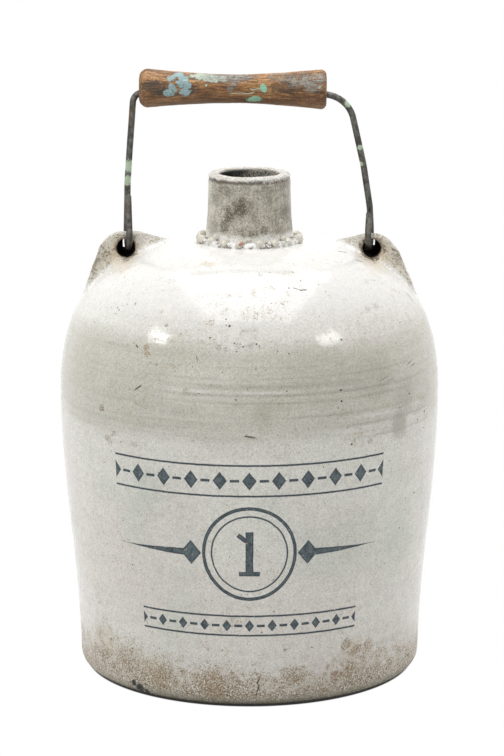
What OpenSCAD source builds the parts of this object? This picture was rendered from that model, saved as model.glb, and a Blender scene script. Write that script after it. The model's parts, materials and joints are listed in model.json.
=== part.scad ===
// Stoneware jug with a wire bail and a wooden grip.
// The lower body and the shoulder meet at a seam, the neck is luted on inside a beaded ring of clay,
// and two pierced ears carry the bail. The origin is at the middle of the foot, +Z is up, and the
// front of the jug faces -Y.

/* [Body] */
// Radius of the widest part, at the shoulder seam
body_r = 93; // [88:0.5:100]
// Distance of the foot inboard of the widest part
foot_inset = 8.7; // [6:0.1:15]
// Height of the shoulder seam above the foot
seam_z = 137; // [110:1:160]
// Thickness of the wall
wall_t = 7.5; // [5:0.5:9]
// Thickness of the floor
floor_t = 10; // [7:0.5:14]
// Rounding of the edge of the foot
foot_round_r = 3; // [1:0.5:5]
// Width of the ring that the jug stands on
foot_ring_w = 14; // [10:1:24]
// Depth of the hollow inside the foot ring
foot_hollow_h = 2; // [1:0.5:4]
// Rounding inside, between the floor and the wall
inside_round_r = 12; // [6:1:20]

/* [Shoulder] */
// Height of the shoulder, from the seam to its flat top
shoulder_h = 73.5; // [66:0.5:84]
// Radius of the flat top that carries the neck
top_r = 25; // [24:0.5:28]
// How full the curve is: 2 is an ellipse, and more is squarer
fullness_share = 2.3; // [2.1:0.1:2.6]
// Radius by which the hole under the neck is wider than the mouth
hole_gap = 0.8; // [0.4:0.1:2]

/* [Neck] */
// Height of the neck
neck_h = 34; // [24:1:44]
// Radius of the neck at its foot
neck_foot_r = 22; // [21:0.1:23]
// Radius of the neck below its lip
neck_top_r = 19.8; // [18.6:0.1:21]
// Radius of the mouth, a straight bore
mouth_r = 14.6; // [12:0.1:16]
// Rounding outside the lip
lip_round_r = 1.4; // [0.6:0.1:2]
// Rounding inside the lip
mouth_round_r = 1; // [0.4:0.1:1.6]

/* [Luting bead] */
// Radius of the roll of clay round the foot of the neck
bead_r = 2.4; // [1.8:0.1:3]
// Radius of each bump along the roll
bump_r = 3; // [2.6:0.1:3.4]
// Number of bumps
bump_count = 18; // [12:1:20]

/* [Ears] */
// Thickness of each ear
ear_t = 8; // [6:0.5:8.6]
// Radius of the round head of each ear
ear_head_r = 14; // [12.5:0.1:16]
// Radius of the hole in each ear
ear_hole_r = 4.9; // [4.7:0.1:5.4]
// Height of clay above each hole
ear_rim_h = 3.6; // [3:0.1:4]
// Height of the ears above the flat top of the shoulder
ear_rise = 5.1; // [3:0.1:7]
// Rounding of the edges of the ears
ear_edge_r = 1.6; // [0.8:0.1:2.2]
// Radius of the foot of each ear
ear_foot_r = 3; // [2:0.5:5]
// Depth of the foot of each ear below the flat top of the shoulder
ear_foot_drop = 27; // [21:0.5:34]
// Drop of the shoulder under the left hole, below its flat top
left_hole_drop = 7.5; // [6:0.1:9]
// Drop of the shoulder under the right hole, below its flat top
right_hole_drop = 7.1; // [6:0.1:9]

/* [Bail] */
// Radius of the wire
wire_r = 1.65; // [1.2:0.05:1.8]
// Height of the middle of the grip above the hinge line
bail_h = 70.6; // [62:0.1:84]
// Distance of each eye inboard of its hole
eye_inset = 1; // [0:0.1:1.2]
// Angle by which each eye is turned about the upright, its front inboard
eye_turn_angle = 8; // [0:1:9]
// Angle from the upright of the two legs of the left eye
left_eye_angle = 15; // [14:1:24]
// Angle from the upright of the two legs of the right eye
right_eye_angle = 30; // [22:1:34]
// Radius of the bend where the left leg goes into the grip
left_bend_r = 5; // [4:0.1:5.4]
// Radius of the bend where the right leg goes into the grip
right_bend_r = 15; // [10:0.5:16]
// Distance from the left end of the grip to the corner of the wire
left_overhang = 2.7; // [2.4:0.1:6]
// Distance from the right end of the grip to the corner of the wire
right_overhang = 10.9; // [10:0.1:13]
// Height of the knee in the right leg above the hinge line
knee_rise = 33.7; // [28:0.1:38]
// Distance of the knee inboard of the right eye
knee_inset = 3.2; // [1:0.1:5]

/* [Grip] */
// Length of the grip
grip_l = 90.3; // [84:0.1:94]
// Distance of the middle of the grip from the middle of the jug, to the left
grip_shift = 8.05; // [6:0.05:10]
// Angle by which the grip is tilted, right end down
grip_tilt_angle = 0.45; // [0:0.05:1]
// Radius of the waist of the grip
grip_waist_r = 6.8; // [6.4:0.1:8]
// Radius of the ends of the grip
grip_end_r = 9.95; // [9:0.05:11]
// Rounding of the left end of the grip
left_end_round_r = 4; // [2:0.5:4.5]
// Rounding of the right end of the grip
right_end_round_r = 2.2; // [1.5:0.1:4]
// Radius of the bore of the grip
grip_bore_r = 4; // [3.6:0.1:4.2]
// Depth of the countersink at each end of the bore
grip_sink_h = 2; // [1:0.5:3]

/* [Hidden] */

// Clearance between the wire and the bore of the grip
wire_gap = 0.5;
// Half the gap between the end of an eye's tail and the leg beside it
tail_gap = 0.25;
// Length by which a cut runs past what it cuts
overrun = 1;
// Gap between two stretches of the wire, and how far the ball that joins them stands proud
joint_gap = 0.1;
ball_proud = 0.05;
// Radius of the bends where the two legs of each eye meet the leg of the bail
kink_r = 10;
// Radius of the bend of the knee
knee_r = 60;
// Straight of the wire inside each end of the grip
lead_l = 3.5;
// Steps along the wall, the shoulder, the neck, the grip and each rounding
wall_steps = 16;
shoulder_steps = 22;
neck_steps = 10;
grip_steps = 16;
round_steps = 5;
// Height and reach of the roll's middle in the corner by the neck, as a share of its radius
bead_tuck_share = 0.75;
// How steep the foot of the neck flares, and how late each end of the grip does
flare_share = 3;
left_flare_share = 1.9;
right_flare_share = 1.4;
// Place of the waist along the grip, from its middle to its right end
waist_share = 0.08;
// Facets of round things: the jug, its small round parts, the wire and the ears
jug_fn = 144;
small_fn = 48;
wire_fn = 32;
ear_fn = 32;

foot_r = body_r - foot_inset;
top_z = seam_z + shoulder_h;
mouth_z = top_z + neck_h;
ear_top_z = top_z + ear_rise;
ear_head_z = ear_top_z - ear_head_r;
hole_z = ear_top_z - ear_rim_h - ear_hole_r;
hinge_z = ear_top_z - ear_rim_h / 2;
// The wire lies in the middle of each hole, on a circle about the hinge line
eye_r = hinge_z - hole_z;
left_hole_x = -shoulder_r(top_z - left_hole_drop);
right_hole_x = shoulder_r(top_z - right_hole_drop);
left_eye_x = left_hole_x + eye_inset;
right_eye_x = right_hole_x - eye_inset;
grip_z = hinge_z + bail_h;
// The wire bows up inside the bore, and clears it alike above its middle and below its ends
bow_h = grip_bore_r - wire_r - wire_gap;
bow_half_l = grip_l / 2 - lead_l;
bow_r = (bow_half_l * bow_half_l + 4 * bow_h * bow_h) / (4 * bow_h);
bow_angle = asin(bow_half_l / bow_r);

// Outside radius of the lower body at a height
function wall_r(z) = body_r - (body_r - foot_r) * (1 + cos(180 * z / seam_z)) / 2;

// Points of a rounding, from one angle to another
function round_points(x, y, r, from, to) = [
    for (i = [0 : round_steps])
        let (a = from + (to - from) * i / round_steps)
        [x + r * cos(a), y + r * sin(a)]
];

// Points up the outside of the shoulder, or of its inside when the wall is taken off
function shoulder_points(inset) = [
    for (i = [0 : shoulder_steps])
        let (a = 90 * i / shoulder_steps)
        [
            top_r + (body_r - top_r - inset) * pow(cos(a), 2 / fullness_share),
            seam_z + (shoulder_h - inset) * pow(sin(a), 2 / fullness_share)
        ]
];

// Outside radius of the shoulder at a height
function shoulder_r(z) = top_r + (body_r - top_r)
    * pow(1 - pow((z - seam_z) / shoulder_h, fullness_share), 1 / fullness_share);

// Points up the outside of the lower body, above the rounding of the foot
function wall_points(inset, from_z) = [
    for (i = [0 : wall_steps])
        let (z = from_z + (seam_z - from_z) * i / wall_steps)
        [wall_r(z) - inset, z]
];

function reversed(points) = [for (i = [len(points) - 1 : -1 : 0]) points[i]];

// Points up the outside of the neck, below the rounding of the lip
function neck_points() = [
    for (i = [0 : neck_steps])
        let (s = i / neck_steps)
        [
            neck_top_r + (neck_foot_r - neck_top_r) * pow(1 - s, flare_share),
            top_z + (neck_h - lip_round_r) * s
        ]
];

// Outside of the shoulder alone, filled
module shoulder_blank() {
    rotate_extrude($fn = jug_fn)
        polygon(concat([[0, seam_z]], shoulder_points(0), [[0, top_z]]));
}

module neck_blank() {
    rotate_extrude($fn = jug_fn)
        polygon(concat(
            [[0, top_z]],
            neck_points(),
            round_points(neck_top_r - lip_round_r, mouth_z - lip_round_r, lip_round_r, 0, 90),
            [[0, mouth_z]]
        ));
}

module lower_body() {
    hollow_r = foot_r - foot_round_r - foot_ring_w;
    inside_z = floor_t + inside_round_r;
    inside_r = wall_r(inside_z) - wall_t;
    color("#d9d5c9")
    rotate_extrude($fn = jug_fn)
        polygon(concat(
            [[0, foot_hollow_h], [hollow_r - foot_hollow_h, foot_hollow_h], [hollow_r, 0]],
            round_points(foot_r - foot_round_r, foot_round_r, foot_round_r, -90, 0),
            [for (p = wall_points(0, foot_round_r)) if (p[1] > foot_round_r) p],
            reversed(wall_points(wall_t, inside_z)),
            [for (p = round_points(inside_r - inside_round_r, inside_z, inside_round_r, 0, -90))
                if (p[1] < inside_z) p],
            [[0, floor_t]]
        ));
}

module shoulder() {
    hole_r = mouth_r + hole_gap;
    color("#e4e0d5")
    rotate_extrude($fn = jug_fn)
        polygon(concat(
            shoulder_points(0),
            [[hole_r, top_z], [hole_r, top_z - wall_t]],
            reversed(shoulder_points(wall_t))
        ));
}

module neck() {
    color("#b5ac9c")
    difference() {
        neck_blank();
        translate([0, 0, top_z - overrun])
            cylinder(h = neck_h + 2 * overrun, r = mouth_r, $fn = jug_fn);
        rotate_extrude($fn = jug_fn)
            polygon(concat(
                [[0, mouth_z - mouth_round_r]],
                round_points(mouth_r + mouth_round_r, mouth_z - mouth_round_r, mouth_round_r, 180, 90),
                [[mouth_r + mouth_round_r, mouth_z + overrun], [0, mouth_z + overrun]]
            ));
    }
}

// The roll lies in the corner between the shoulder and the neck, and the bumps stand out of it
module luting_bead() {
    ring_r = neck_foot_r + bead_r * bead_tuck_share;
    bump_ring_r = neck_foot_r + bead_r;
    color("#c2b9a8")
    difference() {
        union() {
            translate([0, 0, top_z + bead_r * bead_tuck_share])
                rotate_extrude($fn = jug_fn)
                    translate([ring_r, 0])
                        circle(r = bead_r, $fn = wire_fn);
            for (i = [0 : bump_count - 1])
                rotate([0, 0, 360 * i / bump_count])
                    translate([bump_ring_r, 0, top_z + bead_r / 2])
                        sphere(r = bump_r, $fn = small_fn);
        }
        translate([0, 0, top_z - wall_t])
            cylinder(h = wall_t, r = body_r, $fn = jug_fn);
        neck_blank();
    }
}

// One slab across an ear, of a thickness and drawn in by its edge
module ear_layer(x, side, thickness, inset) {
    foot_z = top_z - ear_foot_drop;
    foot_x = side * (shoulder_r(foot_z) - ear_foot_r);
    for (spot = [[x, ear_head_z, ear_head_r], [foot_x, foot_z, ear_foot_r], [x, foot_z, ear_foot_r]])
        translate([spot[0], thickness / 2, spot[1]])
            rotate([90, 0, 0])
                cylinder(h = thickness, r = spot[2] - inset, $fn = ear_fn);
}

// The slab of an ear, cut to sit on the shoulder
module ear_slab(x, side) {
    difference() {
        hull() {
            ear_layer(x, side, ear_t - 2 * ear_edge_r, 0);
            ear_layer(x, side, ear_t, ear_edge_r);
        }
        shoulder_blank();
    }
}

module ear(x, side) {
    difference() {
        ear_slab(x, side);
        translate([x, ear_t / 2 + overrun, hole_z])
            rotate([90, 0, 0])
                cylinder(h = ear_t + 2 * overrun, r = ear_hole_r, $fn = small_fn);
    }
}

module ear_left() {
    color("#a89f8e")
    ear(left_hole_x, -1);
}

module ear_right() {
    color("#a89f8e")
    ear(right_hole_x, 1);
}

function unit(v) = v / norm(v);

// Turn of a path at one of its points, and how far back from the point its bend starts
function bend_angle(p, i) = acos(unit(p[i] - p[i - 1]) * unit(p[i + 1] - p[i]));
function bend_back(p, radii, i) =
    (i == 0 || i == len(p) - 1) ? 0 : radii[i] * tan(bend_angle(p, i) / 2);

// Places its children with their X and Y axes along two given directions
module placed(at, x_axis, y_axis) {
    z_axis = cross(x_axis, y_axis);
    multmatrix([
        [x_axis[0], y_axis[0], z_axis[0], at[0]],
        [x_axis[1], y_axis[1], z_axis[1], at[1]],
        [x_axis[2], y_axis[2], z_axis[2], at[2]]
    ])
        children();
}

// A direction square to a given one
function square_to(d) = unit(cross(d, abs(d[2]) < 0.9 ? [0, 0, 1] : [0, 1, 0]));

// A round wire along straight runs, with a bend of its own radius at each point between them.
// Runs and bends stop just short of each other, and a ball a little wider than the wire joins them.
module bent_wire(p, radii, r) {
    for (i = [0 : len(p) - 2]) {
        d = unit(p[i + 1] - p[i]);
        start = p[i] + d * bend_back(p, radii, i);
        end = p[i + 1] - d * bend_back(p, radii, i + 1);
        start_gap = i == 0 ? 0 : joint_gap;
        end_gap = i == len(p) - 2 ? 0 : joint_gap;
        if (i > 0)
            translate(start)
                sphere(r = r + ball_proud, $fn = wire_fn);
        if (norm(end - start) > start_gap + end_gap)
            wire_run(start + d * start_gap, end - d * end_gap, r);
        if (norm(end - start) > start_gap + end_gap && end_gap > 0)
            translate(end)
                sphere(r = r + ball_proud, $fn = wire_fn);
        if (end_gap > 0)
            wire_bend(end, d, unit(p[i + 2] - p[i + 1]), radii[i + 1], r);
    }
}

module wire_run(from, to, r) {
    d = unit(to - from);
    x_axis = square_to(d);
    placed(from, x_axis, cross(d, x_axis))
        cylinder(h = norm(to - from), r = r, $fn = wire_fn);
}

// A bend of a radius, from one direction to another
module wire_bend(from, d, e, bend_r, r) {
    inward = unit(e - d * (d * e));
    gap_angle = asin(joint_gap / bend_r);
    placed(from + inward * bend_r, -inward, d)
        rotate([0, 0, gap_angle])
            rotate_extrude(angle = acos(d * e) - 2 * gap_angle, $fn = 6 * wire_fn)
                translate([bend_r, 0])
                    circle(r = r, $fn = wire_fn);
}

// A place in the plane of an eye: how far behind the hinge line, and how far above it
function eye_point(x, side, back, up) = [
    x + side * back * sin(eye_turn_angle),
    back * cos(eye_turn_angle),
    hinge_z + up
];

// How high the tail of an eye rises: its end lies beside the leg and just clears it
function tail_rise(angle) = eye_r / sin(angle) - (wire_r + tail_gap) / tan(angle);

// The path of an eye, from the end of its tail in front of the ear, under the rim, to its leg behind
function eye_path(x, side, angle) =
    let (arc = (180 + 2 * angle) / 3)
    concat(
        [eye_point(x, side, -wire_r - tail_gap, tail_rise(angle))],
        [
            for (i = [0 : 2])
                let (a = 180 - angle + arc * (i + 0.5), reach = eye_r / cos(arc / 2))
                eye_point(x, side, reach * cos(a), reach * sin(a))
        ],
        [eye_point(x, side, 0, eye_r / sin(angle))]
    );

// A place in the plane of the bail, measured along the grip and above its axis
function grip_point(along, above) = [
    along * cos(grip_tilt_angle) + above * sin(grip_tilt_angle) - grip_shift,
    0,
    grip_z - along * sin(grip_tilt_angle) + above * cos(grip_tilt_angle)
];

module bail_wire() {
    fall = tan(bow_angle);
    end_drop = bow_h + lead_l * fall;
    path = concat(
        eye_path(left_eye_x, -1, left_eye_angle),
        [
            grip_point(-grip_l / 2 - left_overhang, -end_drop - left_overhang * fall),
            grip_point(0, bow_half_l * fall - bow_h),
            grip_point(grip_l / 2 + right_overhang, -end_drop - right_overhang * fall),
            [right_eye_x - knee_inset, 0, hinge_z + knee_rise]
        ],
        reversed(eye_path(right_eye_x, 1, right_eye_angle))
    );
    radii = concat(
        [0, eye_r, eye_r, eye_r, kink_r],
        [left_bend_r, bow_r, right_bend_r, knee_r],
        [kink_r, eye_r, eye_r, eye_r, 0]
    );
    color("#4a4740")
    bent_wire(path, radii, wire_r);
}

// Radius of the grip at a place along it, from -1 at its left end to 1 at its right end
function grip_r(s) =
    let (
        side = s < waist_share ? -1 : 1,
        share = (s - waist_share) / (side - waist_share),
        flare = side < 0 ? left_flare_share : right_flare_share
    )
    grip_waist_r + (grip_end_r - grip_waist_r) * pow(share, flare);

module grip() {
    left_s = -1 + 2 * left_end_round_r / grip_l;
    right_s = 1 - 2 * right_end_round_r / grip_l;
    color("#a8693a")
    translate([-grip_shift, 0, grip_z])
        rotate([0, 90 + grip_tilt_angle, 0])
            difference() {
                rotate_extrude($fn = jug_fn)
                    polygon(concat(
                        [[0, -grip_l / 2]],
                        round_points(grip_r(left_s) - left_end_round_r, left_end_round_r - grip_l / 2,
                            left_end_round_r, -90, 0),
                        [for (i = [1 : grip_steps - 1])
                            let (s = left_s + (right_s - left_s) * i / grip_steps)
                            [grip_r(s), s * grip_l / 2]],
                        round_points(grip_r(right_s) - right_end_round_r, grip_l / 2 - right_end_round_r,
                            right_end_round_r, 0, 90),
                        [[0, grip_l / 2]]
                    ));
                translate([0, 0, -grip_l / 2 - overrun])
                    cylinder(h = grip_l + 2 * overrun, r = grip_bore_r, $fn = small_fn);
                for (end = [-1, 1])
                    translate([0, 0, end * grip_l / 2])
                        rotate([0, end < 0 ? 0 : 180, 0])
                            cylinder(h = grip_sink_h, r1 = grip_bore_r + grip_sink_h / 2, r2 = grip_bore_r,
                                $fn = small_fn);
            }
}

lower_body();
shoulder();
neck();
luting_bead();
ear_left();
ear_right();
bail_wire();
grip();
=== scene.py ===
import functools
import json
import math

import bmesh
import bpy
import numpy as np
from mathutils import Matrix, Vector, noise


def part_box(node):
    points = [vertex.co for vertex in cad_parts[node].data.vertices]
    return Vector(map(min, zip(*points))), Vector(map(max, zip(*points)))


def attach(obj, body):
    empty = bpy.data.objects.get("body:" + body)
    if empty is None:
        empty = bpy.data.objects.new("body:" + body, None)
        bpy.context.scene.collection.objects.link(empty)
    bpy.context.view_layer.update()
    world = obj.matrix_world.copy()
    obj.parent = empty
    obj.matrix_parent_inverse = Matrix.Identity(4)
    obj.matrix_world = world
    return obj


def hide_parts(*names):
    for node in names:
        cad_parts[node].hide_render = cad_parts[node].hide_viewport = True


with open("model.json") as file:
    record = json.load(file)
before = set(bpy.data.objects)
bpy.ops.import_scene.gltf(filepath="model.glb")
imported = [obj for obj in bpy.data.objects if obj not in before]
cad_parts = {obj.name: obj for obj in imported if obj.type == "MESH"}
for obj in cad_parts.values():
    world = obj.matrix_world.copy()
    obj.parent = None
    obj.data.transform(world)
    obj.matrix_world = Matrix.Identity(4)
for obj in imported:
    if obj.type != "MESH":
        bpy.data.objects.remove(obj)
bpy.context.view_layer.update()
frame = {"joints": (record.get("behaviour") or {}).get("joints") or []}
mm = 0.001
mergeDistance = 1e-6
seedSteps = (3.7, -5.3, 7.9)  # one seed moves the noise by this much


# Small helpers for node trees

class Field:  # a node socket that adds, multiplies and compares like a number
    def __init__(self, socket):
        self.socket = socket
        self.tree = socket.id_data

    def math(self, operation, *others, clamp=False):
        made = self.tree.nodes.new("ShaderNodeMath")
        made.operation = operation
        made.use_clamp = clamp
        for index, value in enumerate((self, *others)):
            plug(value, made.inputs[index])
        return Field(made.outputs[0])

    def __add__(self, other):
        return self.math("ADD", other)

    def __sub__(self, other):
        return self.math("SUBTRACT", other)

    def __mul__(self, other):
        return self.math("MULTIPLY", other)

    def __truediv__(self, other):
        return self.math("DIVIDE", other)

    def __pow__(self, other):
        return self.math("POWER", other)

    def __abs__(self):
        return self.math("ABSOLUTE")

    def above(self, other):
        return self.math("MAXIMUM", other)

    def below(self, other):
        return self.math("MINIMUM", other)

    def clamped(self):
        return self.math("ADD", 0.0, clamp=True)

    def sway(self, width):  # noise turned into a swing to both sides of nothing
        return (self - 0.5) * width


def plug(value, socket):
    if isinstance(value, Field):
        value = value.socket
    if isinstance(value, bpy.types.NodeSocket):
        socket.id_data.links.new(value, socket)
    else:
        socket.default_value = value


def addNode(tree, kind, inputs=None, **settings):
    made = tree.nodes.new(kind)
    for name, value in settings.items():
        setattr(made, name, value)
    for key, value in (inputs or {}).items():
        plug(value, made.inputs[key])
    return made


def ramp(value, start, end):  # 0 at start, 1 at end, eased between, and the other way when start > end
    made = addNode(value.tree, "ShaderNodeMapRange", {"Value": value, "From Min": start, "From Max": end},
                   interpolation_type="SMOOTHSTEP")
    return Field(made.outputs[0])


def split(vector):
    made = addNode(vector.tree, "ShaderNodeSeparateXYZ", {0: vector})
    return [Field(out) for out in made.outputs]


def join(x, y, z):
    tree = next(part.tree for part in (x, y, z) if isinstance(part, Field))
    return Field(addNode(tree, "ShaderNodeCombineXYZ", {0: x, 1: y, 2: z}).outputs[0])


def vectorMath(operation, a, b=None):
    inputs = {0: a} if b is None else {0: a, 1: b}
    made = addNode(a.tree, "ShaderNodeVectorMath", inputs, operation=operation)
    return Field(made.outputs["Value" if operation in ("LENGTH", "DOT_PRODUCT", "DISTANCE") else 0])


def distance(at, centre):
    return vectorMath("DISTANCE", at, tuple(centre))


def times(tree, vector, factor):  # a vector times a number
    made = addNode(tree, "ShaderNodeVectorMath", {0: vector, "Scale": factor}, operation="SCALE")
    return Field(made.outputs[0])


def cloud(at, scale, detail, rough, seed, stretch=(1, 1, 1)):  # soft noise, 0 to 1
    fixed = isinstance(seed, (int, float))
    where = times(at.tree, vectorMath("MULTIPLY", at, stretch), scale)
    if fixed:
        where = vectorMath("ADD", where, tuple(seed * step for step in seedSteps))
    made = addNode(at.tree, "ShaderNodeTexNoise",
                   {"Vector": where, "Scale": 1.0, "Detail": detail, "Roughness": rough},
                   noise_dimensions="3D" if fixed else "4D")
    if not fixed:
        plug(seed, made.inputs["W"])
    return Field(made.outputs[0])


def srgb(red, green, blue):  # a colour as a paint program shows it, 0 to 255
    parts = [part / 255 for part in (red, green, blue)]
    linear = [part / 12.92 if part < 0.04045 else ((part + 0.055) / 1.055) ** 2.4 for part in parts]
    return (*linear, 1.0)


def mixColour(share, a, b, blend="MIX"):
    tree = next(part.tree for part in (share, a, b) if isinstance(part, Field))
    made = addNode(tree, "ShaderNodeMix", data_type="RGBA", blend_type=blend)
    for index, value in {0: share, 6: a, 7: b}.items():  # sockets 6 and 7 are the colours
        plug(value, made.inputs[index])
    return Field(made.outputs[2])


def most(fields):
    return functools.reduce(Field.above, fields)


def least(fields):
    return functools.reduce(Field.below, fields)


# Small helpers for meshes

def meshObject(name, points, edges=(), faces=()):
    mesh = bpy.data.meshes.new(name)
    mesh.from_pydata([tuple(p) for p in points], list(edges), list(faces))
    made = bpy.data.objects.new(name, mesh)
    bpy.context.scene.collection.objects.link(made)
    return made


def newTree(name, inputs):
    tree = bpy.data.node_groups.new(name, "GeometryNodeTree")
    tree.interface.new_socket("Geometry", in_out="INPUT", socket_type="NodeSocketGeometry")
    tree.interface.new_socket("Geometry", in_out="OUTPUT", socket_type="NodeSocketGeometry")
    for socketName, kind in inputs.items():
        tree.interface.new_socket(socketName, in_out="INPUT", socket_type="NodeSocket" + kind)
    return tree, tree.nodes.new("NodeGroupInput").outputs, tree.nodes.new("NodeGroupOutput").inputs[0]


def position(tree):
    return Field(tree.nodes.new("GeometryNodeInputPosition").outputs[0])


def moved(tree, geometry, offset):
    return addNode(tree, "GeometryNodeSetPosition", {"Geometry": geometry, "Offset": offset}).outputs[0]


def endTree(tree, geometry, depth, given, result):  # moves the surface along its normal, sets its material
    normal = tree.nodes.new("GeometryNodeInputNormal").outputs[0]
    rough = moved(tree, geometry, times(tree, normal, depth))
    realized = addNode(tree, "GeometryNodeRealizeInstances", {0: rough})
    painted = addNode(tree, "GeometryNodeSetMaterial", {"Geometry": realized.outputs[0],
                                                        "Material": given["Material"]})
    plug(painted.outputs[0], result)
    return tree


def runTree(thing, tree, values):  # runs a tree on an object and keeps the result as a plain mesh
    modifier = thing.modifiers.new(tree.name, "NODES")
    modifier.node_group = tree
    for item in tree.interface.items_tree:
        if item.in_out == "INPUT" and item.name in values:
            modifier[item.identifier] = values[item.name]
    evaluated = thing.evaluated_get(bpy.context.evaluated_depsgraph_get())
    mesh = bpy.data.meshes.new_from_object(evaluated)
    thing.modifiers.clear()
    thing.data = mesh


def finishMesh(thing, material, sharpAngle=50):
    bm = bmesh.new()
    bm.from_mesh(thing.data)
    bmesh.ops.remove_doubles(bm, verts=bm.verts, dist=mergeDistance)
    bmesh.ops.dissolve_degenerate(bm, edges=bm.edges, dist=mergeDistance)
    bmesh.ops.recalc_face_normals(bm, faces=bm.faces)
    if bm.calc_volume(signed=True) < 0:
        bmesh.ops.reverse_faces(bm, faces=bm.faces)
    bm.to_mesh(thing.data)
    bm.free()
    thing.data.materials.clear()
    thing.data.materials.append(material)
    thing.data.shade_smooth()
    thing.data.set_sharp_from_angle(angle=math.radians(sharpAngle))
    triangles = sum(len(face.vertices) - 2 for face in thing.data.polygons)
    print(thing.name, triangles, "triangles")


def evenly(points, step):  # the same line with its points a step apart
    points = np.array(points, float)
    lengths = np.r_[0, np.cumsum(np.linalg.norm(np.diff(points, axis=0), axis=1))]
    count = max(2, int(round(lengths[-1] / step)) + 1)
    at = np.linspace(0, lengths[-1], count)
    return np.stack([np.interp(at, lengths, points[:, i]) for i in range(points.shape[1])], 1)


def arc(x, y, radius, start, end, steps):
    angles = np.radians(np.linspace(start, end, steps + 1))
    return [(x + radius * math.cos(a), y + radius * math.sin(a)) for a in angles]


def chain(*lines):  # one line of points from several, without doubles
    points = [tuple(point) for line in lines for point in line]
    return [p for i, p in enumerate(points) if i == 0 or math.dist(p, points[i - 1]) > 1e-7]


# Camera

camera = {
    "place": (0.0012, -1.400, 0.454),
    "tiltDown": 12.58,
    "focalPixels": 2913,
    "photoHeight": 756,
    "sensor": 36,
}


def makeCamera():
    data = bpy.data.cameras.new("photoCamera")
    data.sensor_width = camera["sensor"]
    data.lens = camera["focalPixels"] * camera["sensor"] / camera["photoHeight"]
    data.clip_start = 0.05
    data.clip_end = 20
    made = bpy.data.objects.new("photoCamera", data)
    made.location = camera["place"]
    made.rotation_euler = (math.radians(90 - camera["tiltDown"]), 0, 0)
    bpy.context.scene.collection.objects.link(made)
    bpy.context.scene.camera = made


makeCamera()
print("camera ready")


# Studio: soft lamps, white surroundings and a floor with a painted contact shadow

studio = {
    "ambient": 0.18,
    "lamps": {  # azimuth from the front to the right, elevation, distance, width, height, watts
        "overhead": (180, 87, 1.5, 1.35, 2.0, 30.7),
        "leftBox": (-65, 34, 1.5, 0.34, 0.22, 3.0),
        "rightBox": (57, 36, 1.5, 0.34, 0.22, 2.4),
        "leftWall": (-124, 3, 1.5, 1.1, 1.4, 13),
        "rightWall": (124, 3, 1.5, 1.1, 1.4, 13),
        "front": (-30, 6, 2.2, 1.6, 1.2, 6.8),
    },
    "unseen": ("leftWall", "rightWall"),  # these light the sides and aren't mirrored in the glaze
    "aim": (0, 0, 0.13),
    "floorSize": 3.0,
    "floorColour": (0.7, 0.7, 0.7, 1.0),
    "shadowLeft": 0.03,  # brightness that is left in the darkest line of the contact shadow
    "shadowCentre": -1.6 * mm,
    "shadowNear": 80.4 * mm,
    "shadowFar": 81.6 * mm,
    "shadeNear": 83 * mm,  # painted shade: under the jug the floor's colour is darker
    "shadeFar": 89 * mm,
    "shadeColour": (0.025, 0.024, 0.022, 1.0),
}


def makeLamp(name, azimuth, elevation, distance, width, height, watts):
    data = bpy.data.lights.new(name, "AREA")
    data.shape = "RECTANGLE"
    data.size = width
    data.size_y = height
    data.energy = watts
    made = bpy.data.objects.new(name, data)
    a, e = math.radians(azimuth), math.radians(elevation)
    away = Vector((math.sin(a) * math.cos(e), -math.cos(a) * math.cos(e), math.sin(e)))
    made.location = Vector(studio["aim"]) + away * distance
    made.rotation_euler = away.to_track_quat("Z", "Y").to_euler()
    made.visible_glossy = name not in studio["unseen"]
    bpy.context.scene.collection.objects.link(made)


def seesWhite(tree):  # 1 for the rays that look at the background, straight, mirrored or through glass
    path = tree.nodes.new("ShaderNodeLightPath").outputs
    return most([Field(path[ray]) for ray in ("Is Camera Ray", "Is Glossy Ray", "Is Transmission Ray")])


def makeWorld():
    world = bpy.data.worlds.new("studioWorld")
    bpy.context.scene.world = world
    world.use_nodes = True
    tree = world.node_tree
    tree.nodes.clear()
    level = seesWhite(tree) * (1 - studio["ambient"]) + studio["ambient"]
    sky = addNode(tree, "ShaderNodeBackground", {"Color": (1, 1, 1, 1), "Strength": level})
    plug(sky.outputs[0], tree.nodes.new("ShaderNodeOutputWorld").inputs[0])


def makeFloor():
    half = studio["floorSize"] / 2
    floor = meshObject("floor", [(-half, -half, 0), (half, -half, 0), (half, half, 0), (-half, half, 0)],
                       faces=[(0, 1, 2, 3)])
    material = bpy.data.materials.new("floorWhite")
    material.use_nodes = True
    tree = material.node_tree
    tree.nodes.clear()
    x, y, _ = split(Field(tree.nodes.new("ShaderNodeTexCoord").outputs["Object"]))
    y = y - studio["shadowCentre"]
    reach = (x * x + y * y).math("SQRT")
    # painted contact shadow: camera rays see the white glow except in a dark ring round the foot
    white = seesWhite(tree) * (ramp(reach, studio["shadowNear"], studio["shadowFar"]) 
                              * (1 - studio["shadowLeft"]) + studio["shadowLeft"])
    away = ramp(reach, studio["shadeNear"], studio["shadeFar"])
    shade = mixColour(away, studio["shadeColour"], studio["floorColour"])
    matt = addNode(tree, "ShaderNodeBsdfDiffuse", {"Color": shade})
    glow = addNode(tree, "ShaderNodeEmission", {"Color": (1, 1, 1, 1), "Strength": 1.0})
    both = addNode(tree, "ShaderNodeMixShader", {0: white, 1: matt.outputs[0], 2: glow.outputs[0]})
    plug(both.outputs[0], tree.nodes.new("ShaderNodeOutputMaterial").inputs[0])
    floor.data.materials.append(material)


for lampName, lamp in studio["lamps"].items():
    makeLamp(lampName, *lamp)
makeWorld()
makeFloor()
bpy.context.scene.view_settings.view_transform = "Standard"
print("studio ready")


# Sizes that several pieces share, read from the frame

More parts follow.
